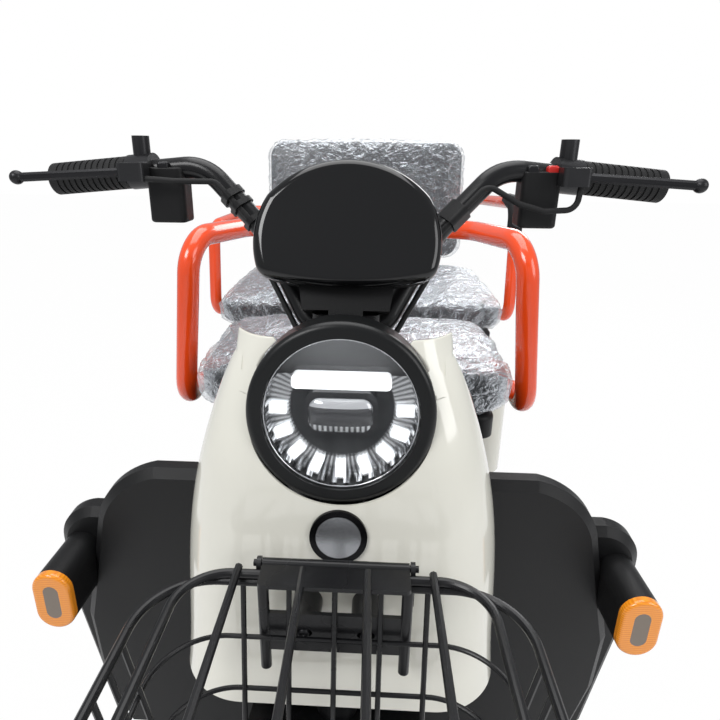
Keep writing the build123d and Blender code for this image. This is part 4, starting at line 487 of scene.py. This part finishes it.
def round_outline(half_x, half_y, corner, count):
    """Points round a rectangle with rounded corners, evenly spaced along its length.

    Each corner is a quarter circle; the straight sides join them, and the whole is resampled.
    """
    quarter = np.linspace(0, np.pi / 2, ARC_POINTS)
    centres = [(half_x - corner, half_y - corner, 0), (corner - half_x, half_y - corner, 1),
               (corner - half_x, corner - half_y, 2), (half_x - corner, corner - half_y, 3)]
    arcs = [np.stack([x + corner * np.cos(quarter + k * np.pi / 2),
                      y + corner * np.sin(quarter + k * np.pi / 2)], axis=-1) for x, y, k in centres]
    ring = np.vstack(arcs + [arcs[0][:1]])
    along = np.concatenate([[0], np.cumsum(np.linalg.norm(np.diff(ring, axis=0), axis=1))])
    even = np.linspace(0, along[-1], count, endpoint=False)
    return np.stack([np.interp(even, along, ring[:, 0]), np.interp(even, along, ring[:, 1])], axis=-1)


# %% Folds of film
FULL_TURN = 6.3
RIDGES = 7
BEND, BEND_SCALE = 1.6, 0.35


def creases(points, scale, seed, sharp=3.0):
    """Folded-film relief at each point, from 0 to 1: the highest of several sharp ridges.

    Each ridge is (1 - |sin(direction . point + bend)|) to a power; bend is a slow wave, so that
    the folds are not straight.
    """
    dice = np.random.default_rng(seed)
    relief = np.zeros(points.shape[:-1])
    for k in range(RIDGES):
        way = dice.normal(size=3)
        way /= np.linalg.norm(way)
        side = dice.normal(size=3)
        bend = BEND * np.sin(points @ side * scale * BEND_SCALE + dice.uniform(0, FULL_TURN))
        across = points @ way * scale * dice.uniform(0.6, 1.5)
        ridge = 1 - np.abs(np.sin(across + bend + dice.uniform(0, FULL_TURN)))
        relief = np.maximum(relief, ridge ** sharp * dice.uniform(0.5, 1.0))
    return relief


# %% [markdown]
# ## Seats
# The seats are foam blocks covered in black leatherette, with a sewn seam round the top and one
# round the bottom. Each is a crowned pillow: going up its side, the outline swells and draws in
# like the corner of a rounded square, and the top rises a little towards the middle. A few slow
# waves then make the foam a little uneven.

# %% Leatherette
leatherette = finish("leatherette", (0.028, 0.030, 0.034), 0.40, grain=(420, 0.35), drift=0.12,
                     Coat_Weight=0.25, Coat_Roughness=0.25)


# %% The pillow's surface
SEAM_AT, SEAM_WIDTH = 0.72, 0.05
DOME_EDGE = 1.3


def pillow(half_x, half_y, height, corner, rows, columns, crown, seam_depth, boxy=4.5):
    """A crowned pillow about the origin, its bottom at z = 0.

    With angle p from -90 to 90 degrees up the side: draw-in = cos(p)^(2/boxy) scales the outline
    towards its middle, z = height/2 * (1 + sign(sin p) |sin p|^(2/boxy)). The top half then rises
    by crown * (1 - r^2 / 1.3), and two narrow grooves are pressed in at the seams.
    """
    ring = round_outline(half_x, half_y, corner, columns)
    p = np.linspace(-np.pi / 2, np.pi / 2, rows + 2)[1:-1]
    draw = np.cos(p)[:, None] ** (2 / boxy)
    lift = (np.sign(np.sin(p)) * np.abs(np.sin(p)) ** (2 / boxy))[:, None]
    seam = np.exp(-((np.abs(lift) - SEAM_AT) / SEAM_WIDTH) ** 2) * seam_depth
    grid = np.zeros((len(p), columns, 3))
    grid[..., 0] = ring[None, :, 0] * (draw - seam / half_x)
    grid[..., 1] = ring[None, :, 1] * (draw - seam / half_y)
    r2 = np.clip((grid[..., 0] / half_x) ** 2, 0, 1) + np.clip((grid[..., 1] / half_y) ** 2, 0, 1)
    dome = crown * np.clip(1 - r2 / DOME_EDGE, 0, 1)
    grid[..., 2] = height / 2 * (1 + lift) + np.where(lift > 0, dome, 0)
    return grid


# %% Slow waves in the foam
WAVES = 6
WAVE_HEIGHT, WAVE_SCALE = 0.0022, 22.0


def soften(grid, seed):
    """Moves points in and out along the way from the grid's middle by the mean of a few sines.

    Each sine is sin(direction . point + phase) with a direction and a phase drawn by lot. What
    would sink below the bottom is put back on it.
    """
    middle = grid.reshape(-1, 3).mean(axis=0)
    way = grid - middle
    way /= np.linalg.norm(way, axis=-1, keepdims=True)
    dice = np.random.default_rng(seed)
    wave = np.zeros(grid.shape[:2])
    for k in range(WAVES):
        wave += np.sin(grid @ (dice.normal(size=3) * WAVE_SCALE) + dice.uniform(0, FULL_TURN)) / WAVES
    soft = grid + way * (wave * WAVE_HEIGHT)[..., None]
    soft[..., 2] = np.clip(soft[..., 2], 0, None)
    return soft


# %% The two cushions
SEAM, SEAT_CORNER, FILL = 0.0022, 0.040, 0.9
PAD_ROWS, PAD_COLUMNS = 60, 300


def room_for(node):
    """The half size, the height and the middle of the floor of a node's box."""
    low, high = (np.array(c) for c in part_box(node))
    floor_middle = np.array([(low[0] + high[0]) / 2, (low[1] + high[1]) / 2, low[2]])
    return (high - low) / 2, high[2] - low[2], floor_middle


seat_rows = [
    ("driver_cushion", "driver_seat", "frame", 0.007, 11),
    ("passenger_cushion", "passenger_seat_pad", "passenger_seat", 0.008, 23),
]
for node, name, body, crown, seed in seat_rows:
    half, height, place = room_for(node)
    grid = pillow(half[0], half[1], height - crown, SEAT_CORNER, PAD_ROWS, PAD_COLUMNS, crown, SEAM)
    grid = soften(grid, seed) + place
    seat = grid_piece(name, grid, leatherette, body, cap_start=True, cap_end=True)
    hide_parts(node)
    print(name, "points:", grid.shape[0] * grid.shape[1])

# %% [markdown]
# ## Backrest
# The backrest is the same kind of pillow standing on edge. It is worked out lying down, then
# turned up to the lean of its frame.

# %% The backrest's pad
BACK_LEAN = math.radians(8.0)
BACK_PLACE = np.array([0.0, 0.745, 0.907])
BACK_HALF_X, BACK_HALF_Z, BACK_DEPTH = 0.275, 0.159, 0.056
BACK_CORNER, BACK_CROWN, BACK_SEED = 0.044, 0.006, 37
OFF_FRAME = 0.0004


def stand_up(grid):
    """Turns a lying grid up: its +Y goes up the back and its +Z faces forward."""
    up_way = np.array([0, math.sin(BACK_LEAN), math.cos(BACK_LEAN)])
    face = np.array([0, -math.cos(BACK_LEAN), math.sin(BACK_LEAN)])
    side = np.array([1.0, 0, 0])
    stood = grid[..., 0:1] * side + grid[..., 1:2] * up_way + (grid[..., 2:3] + OFF_FRAME) * face
    return stood + BACK_PLACE


grid = pillow(BACK_HALF_X, BACK_HALF_Z, BACK_DEPTH - BACK_CROWN, BACK_CORNER, PAD_ROWS, PAD_COLUMNS,
              BACK_CROWN, SEAM)
back_pad = grid_piece("backrest_pad", stand_up(soften(grid, BACK_SEED)), leatherette, "frame",
                      cap_start=True, cap_end=True)
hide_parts("backrest")
print("backrest turned to", math.degrees(BACK_LEAN), "degrees")

# %% [markdown]
# ## Clear film on the seats
# The new seats are still wrapped in thin clear film. Film doesn't stretch: it folds in sharp
# creases that throw narrow white glints. Its relief is a set of sharp ridges, and its shader lets
# light straight through except where it mirrors, more so at a glancing angle.

# %% Film shader
FILM_COLOUR, FILM_METAL = (0.86, 0.90, 0.95, 1), 0.85
CRINKLES, CRINKLE_DETAIL, CRINKLE_TWIST = 48.0, 5.0, 2.4
CRINKLE_STRENGTH, CRINKLE_DEPTH = 0.85, 0.007
MIRROR_BLEND = 0.35
COVER_LEAST, COVER_MOST = 0.06, 0.66
ROUGH_LEAST, ROUGH_MOST = 0.10, 0.26

film = bpy.data.materials.new("clear_film")
film.use_nodes = True
nodes, links = film.node_tree.nodes, film.node_tree.links
shader = nodes["Principled BSDF"]
shader.inputs["Base Color"].default_value = FILM_COLOUR
shader.inputs["Metallic"].default_value = FILM_METAL
place = nodes.new("ShaderNodeTexCoord").outputs["Object"]
crinkle = nodes.new("ShaderNodeTexNoise")
crinkle.inputs["Scale"].default_value = CRINKLES
crinkle.inputs["Detail"].default_value = CRINKLE_DETAIL
crinkle.inputs["Distortion"].default_value = CRINKLE_TWIST
links.new(place, crinkle.inputs["Vector"])
bump = nodes.new("ShaderNodeBump")
bump.inputs["Strength"].default_value = CRINKLE_STRENGTH
bump.inputs["Distance"].default_value = CRINKLE_DEPTH
links.new(crinkle.outputs["Fac"], bump.inputs["Height"])
links.new(bump.outputs["Normal"], shader.inputs["Normal"])
glancing = nodes.new("ShaderNodeLayerWeight")
glancing.inputs["Blend"].default_value = MIRROR_BLEND
links.new(bump.outputs["Normal"], glancing.inputs["Normal"])
cover = nodes.new("ShaderNodeMapRange")
cover.inputs["To Min"].default_value = COVER_LEAST
cover.inputs["To Max"].default_value = COVER_MOST
links.new(glancing.outputs["Fresnel"], cover.inputs["Value"])
links.new(cover.outputs["Result"], shader.inputs["Alpha"])
rough = nodes.new("ShaderNodeMapRange")
rough.inputs["To Min"].default_value = ROUGH_LEAST
rough.inputs["To Max"].default_value = ROUGH_MOST
links.new(crinkle.outputs["Fac"], rough.inputs["Value"])
links.new(rough.outputs["Result"], shader.inputs["Roughness"])
print("film mirrors between", COVER_LEAST, "and", COVER_MOST, "of the light")


# %% Film sheets
FILM_ROWS, FILM_COLUMNS = 120, 420
FILM_OFF, RELIEF, FINE_SHARE = 0.0016, 0.008, 0.45
FOLD_SCALE, FINE_SCALE, FINE_SHARP = 30.0, 84.0, 2.0
UPRIGHT = 2.4
HEM_HEIGHT, HEM_ROWS, HEM_WAVE, HEM_MIDDLE = 0.010, 2.5, 37, 0.4


def mesh_area(piece):
    """The sum of a mesh's face areas in square metres."""
    areas = np.zeros(len(piece.data.polygons))
    piece.data.polygons.foreach_get("area", areas)
    return float(areas.sum())


def wrap(name, lying, turn_up, body, seed, start_row):
    """Film over a pillow's sides and top: its own rows from start_row up, pushed outwards.

    Each point moves away from the pad by 1.6 mm + relief * (coarse folds + 0.45 * fine folds), so
    folds stand off it. The lower edge waves up and down as |sin|, which fades over a few rows.
    """
    grid = lying[start_row:].copy()
    middle = np.array([0, 0, lying[..., 2].mean()])
    way = grid - middle
    way[..., 2] *= UPRIGHT
    way /= np.linalg.norm(way, axis=-1, keepdims=True)
    coarse = creases(grid, FOLD_SCALE, seed) * RELIEF
    fine = creases(grid, FINE_SCALE, seed + 1, sharp=FINE_SHARP) * RELIEF * FINE_SHARE
    grid = grid + way * (FILM_OFF + (coarse + fine))[..., None]
    hem = np.exp(-np.arange(len(grid)) / HEM_ROWS)[:, None]
    sway = np.abs(np.sin(np.arange(grid.shape[1]) * 2 * np.pi / HEM_WAVE)) - HEM_MIDDLE
    grid[..., 2] += hem * HEM_HEIGHT * sway
    piece = grid_piece(name, turn_up(grid), film, body, cap_end=True)
    area = mesh_area(piece)
    print(name, "area", round(area, 3))


# %% Film on the three pads
SEAT_FILM_ROW, BACK_FILM_ROW = 26, 22
BACK_FILM_SEED = 51

for node, name, body, crown, seed in seat_rows:
    half, height, place = room_for(node)
    lying = pillow(half[0], half[1], height - crown, SEAT_CORNER, FILM_ROWS, FILM_COLUMNS, crown, 0.0)
    wrap(name + "_film", lying, lambda grid: grid + place, body, seed, SEAT_FILM_ROW)
lying = pillow(BACK_HALF_X, BACK_HALF_Z, BACK_DEPTH - BACK_CROWN, BACK_CORNER, FILM_ROWS, FILM_COLUMNS,
               BACK_CROWN, 0.0)
wrap("backrest_film", lying, stand_up, "frame", BACK_FILM_SEED, BACK_FILM_ROW)

# %% [markdown]
# ## Tyres
# The tread is what shows on a tyre: a wavy groove round the middle and slanted slots towards the
# shoulders. The tyre is a closed profile carried round the axle, and where the pattern says so a
# point sinks three millimetres towards the axle.

# %% The tyre's cross-section
SEAT_HALF, HALF_WIDTH, CROWN_HALF = 0.031, 0.041, 0.036
SEAT_RADIUS, BEAD_RADIUS, SHOULDER_RADIUS, TOP_RADIUS = 0.1272, 0.135, 0.190, 0.205


def tyre_profile(count):
    """Points round the tyre's cross-section: width and radius, from bead to bead over the crown.

    Each side bulges by a sine from the bead to the shoulder, and the crown is an arc over the
    middle, whose radius is (half^2 + rise^2) / (2 * rise).
    """
    turn = np.linspace(0, 1, count)
    bulge = (HALF_WIDTH - (SEAT_HALF + CROWN_HALF) / 2) * np.sin(turn * np.pi)
    side_x = SEAT_HALF + (CROWN_HALF - SEAT_HALF) * turn + bulge
    side_r = BEAD_RADIUS + (SHOULDER_RADIUS - BEAD_RADIUS) * turn
    rise = TOP_RADIUS - SHOULDER_RADIUS
    radius = (CROWN_HALF ** 2 + rise ** 2) / (2 * rise)
    span = math.asin(CROWN_HALF / radius)
    arc = np.linspace(span, -span, count * 2)[1:-1]
    crown_x, crown_r = radius * np.sin(arc), TOP_RADIUS - radius + radius * np.cos(arc)
    x = np.concatenate([[SEAT_HALF], side_x, crown_x, -side_x[::-1], [-SEAT_HALF]])
    r = np.concatenate([[SEAT_RADIUS], side_r, crown_r, side_r[::-1], [SEAT_RADIUS]])
    return x, r


def smooth_step(value, edge, soft):
    """1 below edge, 0 above edge + soft, with a cubic ramp between."""
    t = np.clip((value - edge) / soft, 0, 1)
    return 1 - t * t * (3 - 2 * t)


# %% Treaded tyres
TREAD, PITCHES = 0.0030, 44
PROFILE_POINTS, ROUND_POINTS = 24, 528
WAVE_SWING, WAVE_HALF, WAVE_SOFT = 0.22, 0.05, 0.05
SLOT_SLANT, SLOT_HALF, SLOT_SOFT, SLOT_FROM = 0.8, 0.10, 0.07, 0.42
TREAD_FROM, TREAD_SOFT = 0.176, 0.004
LINE_HEIGHT, LINE_WIDTH, LINE_RADII = 0.0007, 0.0012, (0.152, 0.166)
LINE_FROM = 0.03


def treaded_tyre(name, node, body):
    """The profile turned about the axle through the node's middle, with grooves pressed in.

    Across the crown s runs from -1 to 1. The middle groove follows s = 0.22 sin(angle * pitches);
    side slots lie where pitches * angle / turn + 0.8 |s| comes near a half, outside |s| = 0.42.
    Two fine lines stand out on each wall, each a narrow bell over the radius.
    """
    low, high = (np.array(c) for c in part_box(node))
    centre = (low + high) / 2
    x, r = tyre_profile(PROFILE_POINTS)
    a = np.linspace(0, 2 * np.pi, ROUND_POINTS, endpoint=False)[None, :]
    s = (x / CROWN_HALF)[:, None]
    wave = smooth_step(np.abs(s - WAVE_SWING * np.sin(a * PITCHES)), WAVE_HALF, WAVE_SOFT)
    slot = np.abs((a * PITCHES / (2 * np.pi) + SLOT_SLANT * np.abs(s)) % 1 - 0.5)
    slots = smooth_step(slot, SLOT_HALF, SLOT_SOFT) * (np.abs(s) > SLOT_FROM)
    tread_zone = smooth_step(TREAD_FROM - r, -TREAD_SOFT, TREAD_SOFT)[:, None]
    radius = r[:, None] - TREAD * np.maximum(wave, slots) * tread_zone
    lines = sum(LINE_HEIGHT * np.exp(-((r - at) / LINE_WIDTH) ** 2) for at in LINE_RADII)
    width = np.where(np.abs(x) > LINE_FROM, x + np.sign(x) * lines, x)[:, None]
    across = np.broadcast_to(width, radius.shape)
    grid = np.stack([across, radius * np.cos(a), radius * np.sin(a)], axis=-1)
    piece = grid_piece(name, grid + centre, tyre_rubber, body, loop=True)
    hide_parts(node)
    print(name, "faces:", len(piece.data.polygons))


treaded_tyre("front_tread", "front_tyre", "front_wheel")
treaded_tyre("left_tread", "rear_tyre_left", "rear_wheel_left")
treaded_tyre("right_tread", "rear_tyre_right", "rear_wheel_right")

# %% [markdown]
# ## Turned parts: screws and nuts
# A screw head is a profile turned about its axis. One function turns any profile, and six flats
# are cut by letting the radius follow a hexagon.


# %% Turned pieces
TURNED_POINTS = 36


def turned(name, profile, place, axis, material, body, sides=0):
    """A profile of (along, radius) pairs turned about an axis through a place.

    With sides = 6 the radius is multiplied by cos(30) / cos(angle from the nearest flat's middle),
    which makes a hexagon of the same size across its corners.
    """
    axis = Vector(axis).normalized()
    first = axis.orthogonal().normalized()
    axes = np.array([first, axis.cross(first), axis])
    along, radius = np.array(profile, dtype=float).T[..., None]
    angle = np.linspace(0, 2 * np.pi, TURNED_POINTS, endpoint=False)[None, :]
    if sides:
        flat = np.pi / sides
        radius = radius * math.cos(flat) / np.cos((angle + flat) % (2 * flat) - flat)
    ring_x, ring_y = radius * np.cos(angle), radius * np.sin(angle)
    local = np.stack([ring_x, ring_y, np.broadcast_to(along, ring_x.shape)], axis=-1)
    piece = grid_piece(name, local @ axes + np.array(place), material, body,
                       cap_start=True, cap_end=True)


# %% Screws of the basket's bracket and nuts of the axles
HEAD = [(-0.002, 0.0052), (0.0, 0.0055), (0.0016, 0.0052), (0.0026, 0.0042), (0.0030, 0.0026),
        (0.0028, 0.0018), (0.0012, 0.0016)]
SCREW_X, SCREW_Y, SCREW_Z = 0.028, -0.605, 0.629
for side in (-1, 1):
    turned(f"bracket_screw_{side + 1}", HEAD, (side * SCREW_X, SCREW_Y, SCREW_Z), (0, -1, 0),
           lever_metal, "frame")

NUT = [(-0.002, 0.0105), (0.0005, 0.0105), (0.007, 0.0105), (0.0078, 0.0098), (0.0080, 0.0070),
       (0.0120, 0.0068), (0.0128, 0.0055)]
AXLE_Z, NUT_SIDES = 0.205, 6
for name, half_x, y, body in (("front", 0.090, -0.6779, "steering"), ("rear", 0.3525, 0.520, "frame")):
    for way, word in ((1, "left"), (-1, "right")):
        turned("axle_nut_" + name + "_" + word, NUT, (way * half_x, y, AXLE_Z), (way, 0, 0),
               spring_steel, body, sides=NUT_SIDES)

# %% [markdown]
# ## Small parts of the lamp and the switches
# A bright ring lies round the lamp glass, and the projector has a bulging clear lens with upright
# ribs. On the switch boxes sit three push buttons, one of them red.

# %% The lamp's front plane
LAMP_TILT = math.radians(5.0)
LAMP_FRONT = np.array([0.0, -0.541, 0.812])
LAMP_SIDE = np.array([1.0, 0, 0])
LAMP_UP = np.array([0.0, math.sin(LAMP_TILT), math.cos(LAMP_TILT)])
LAMP_OUT = np.array([0.0, -math.cos(LAMP_TILT), math.sin(LAMP_TILT)])


def on_lamp(grid):
    """Moves a grid lying flat, its z pointing at the viewer, onto the lamp's front plane."""
    turned_up = grid[..., 0:1] * LAMP_SIDE + grid[..., 1:2] * LAMP_UP + grid[..., 2:3] * LAMP_OUT
    return turned_up + LAMP_FRONT


# %% Bright ring: a thin tube whose radius steps in and out 72 times, as knurling does
RING_RADIUS, RING_TUBE, RING_BACK = 0.0702, 0.0009, 0.0052
KNURLS, KNURL_SHARE = 72, 0.12
RING_POINTS, RING_TUBE_POINTS = 144, 10

bright_ring = finish("bright_ring", (0.62, 0.63, 0.65), 0.16, metal=1.0, rough_drift=0.04)
turn = np.linspace(0, 2 * np.pi, RING_POINTS, endpoint=False)[:, None]
tube_turn = np.linspace(0, 2 * np.pi, RING_TUBE_POINTS, endpoint=False)[None, :]
tube = RING_TUBE * (1 + KNURL_SHARE * np.sign(np.sin(turn * KNURLS)))
reach = RING_RADIUS + tube * np.cos(tube_turn)
ring_grid = np.stack([reach * np.cos(turn), reach * np.sin(turn),
                      tube * np.sin(tube_turn) - RING_BACK], axis=-1)
lamp_ring = grid_piece("lamp_ring", on_lamp(ring_grid), bright_ring, "frame", loop=True)
print("ring radius:", RING_RADIUS)

# %% Projector lens: a small pillow with painted glints on its upright ribs in its lower half and a painted highlight across its top
LENS_HALF_X, LENS_HALF_Z, LENS_HEIGHT, LENS_CORNER, LENS_CROWN = 0.029, 0.0155, 0.010, 0.010, 0.003
LENS_ROWS, LENS_COLUMNS, LENS_BOXY, LENS_BACK = 16, 96, 3.0, 0.0112
STREAKS, STREAKS_BELOW, HIGHLIGHT_ABOVE = 1300.0, 0.006, 0.0105

lens_glass = finish("projector_lens", (0.30, 0.31, 0.33), 0.07, metal=0.35, Coat_Weight=0.8,
                    Coat_Roughness=0.03)
sums = Sums(lens_glass)
# Painted highlights: the real upright ribs show as bright glint stripes in the lower half, and the top
# band is painted pale as a highlight.
low_band = sums.do("LESS_THAN", sums.z, LAMP[1] - STREAKS_BELOW)
streaked = sums.do("MULTIPLY", sums.waves(sums.x, STREAKS), low_band)
rib_glints = sums.pick(streaked, (0.06, 0.062, 0.067), (0.72, 0.74, 0.76))
top_highlight = sums.do("GREATER_THAN", sums.z, LAMP[1] + HIGHLIGHT_ABOVE)
sums.put(sums.pick(top_highlight, rib_glints, (0.50, 0.51, 0.53)), "Base Color")
bulge = pillow(LENS_HALF_X, LENS_HALF_Z, LENS_HEIGHT, LENS_CORNER, LENS_ROWS, LENS_COLUMNS,
               LENS_CROWN, 0.0, boxy=LENS_BOXY)
bulge[..., 2] -= LENS_BACK
projector_lens = grid_piece("projector_lens", on_lamp(bulge), lens_glass, "frame",
                            cap_start=True, cap_end=True)
print("projector lens:", LENS_HALF_X * 2, "by", LENS_HALF_Z * 2)

# %% Push buttons
BUTTON_HALF_X, BUTTON_HALF_Y, BUTTON_HEIGHT, BUTTON_CORNER = 0.006, 0.0045, 0.009, 0.002
BUTTON_ROWS, BUTTON_COLUMNS, BUTTON_CROWN, BUTTON_BOXY = 10, 40, 0.001, 5.0
BUTTON_Y, BUTTON_Z = -0.3745, 1.0135

red_button = finish("red_button", (0.55, 0.02, 0.015), 0.3, grain=(900, 0.05))
for name, x, paint, slot in (("red_switch", 0.207, red_button, "red_lens"),
                             ("left_switch", 0.187, lever_metal, "lever_metal"),
                             ("right_switch", -0.198, lever_metal, "lever_metal")):
    button = pillow(BUTTON_HALF_X, BUTTON_HALF_Y, BUTTON_HEIGHT, BUTTON_CORNER, BUTTON_ROWS,
                    BUTTON_COLUMNS, BUTTON_CROWN, 0.0, boxy=BUTTON_BOXY)
    made = grid_piece(name, button + np.array((x, BUTTON_Y, BUTTON_Z)), paint, "steering",
                      cap_start=True, cap_end=True)
    print(name, "width:", BUTTON_HALF_X * 2)

# %% [markdown]
# ## Brow of the cowl
# The ivory wall runs on from the cowl's upper corners to the lamp's bezel. Each side is a curved
# strip 3 mm thick, laid out in circles round the lamp: its inner edge hides under the bezel, and
# its outer edge follows the cowl's side and top.

# %% Brow strips
BROW_SIDE, BROW_TOP, BROW_INNER, BROW_WALL = 0.1030, 0.8735, 0.0865, 0.003
BROW_ANGLES, BROW_ROWS, BROW_ACROSS, BROW_LEAST = (9.0, 45.0), 40, 12, 0.0004
WALL_FROM_Z, WALL_Y, WALL_LEAN = 0.82, -0.5297, 0.41
CURVE, CURVE_GROWTH, CURVE_X, CURVE_POWER = 0.0115, 0.31, 0.1, 6


def cowl_front(x, z):
    """The cowl's front wall: y = a + b * (x / 0.1)^6, where a and b grow evenly with height."""
    up = z - WALL_FROM_Z
    return WALL_Y + WALL_LEAN * up + (CURVE + CURVE_GROWTH * up) * (np.abs(x) / CURVE_X) ** CURVE_POWER


angle = np.radians(np.linspace(*BROW_ANGLES, BROW_ROWS))[:, None]
outer = np.minimum(BROW_SIDE / np.cos(angle), (BROW_TOP - LAMP[1]) / np.sin(angle))
width = np.maximum(outer, BROW_INNER + BROW_LEAST) - BROW_INNER
reach = BROW_INNER + width * np.linspace(0, 1, BROW_ACROSS)[None, :]
x, z = reach * np.cos(angle), LAMP[1] + reach * np.sin(angle)
y = cowl_front(x, z)
for side, word in ((1, "left"), (-1, "right")):
    front = np.stack([x * side, y, z], axis=-1)
    back = np.stack([x * side, y + BROW_WALL, z], axis=-1)[:, ::-1]
    brow = grid_piece("cowl_brow_" + word, np.concatenate([front, back], axis=1), ivory, "frame",
                      cap_start=True, cap_end=True)
    print(brow.name, "wall:", BROW_WALL)
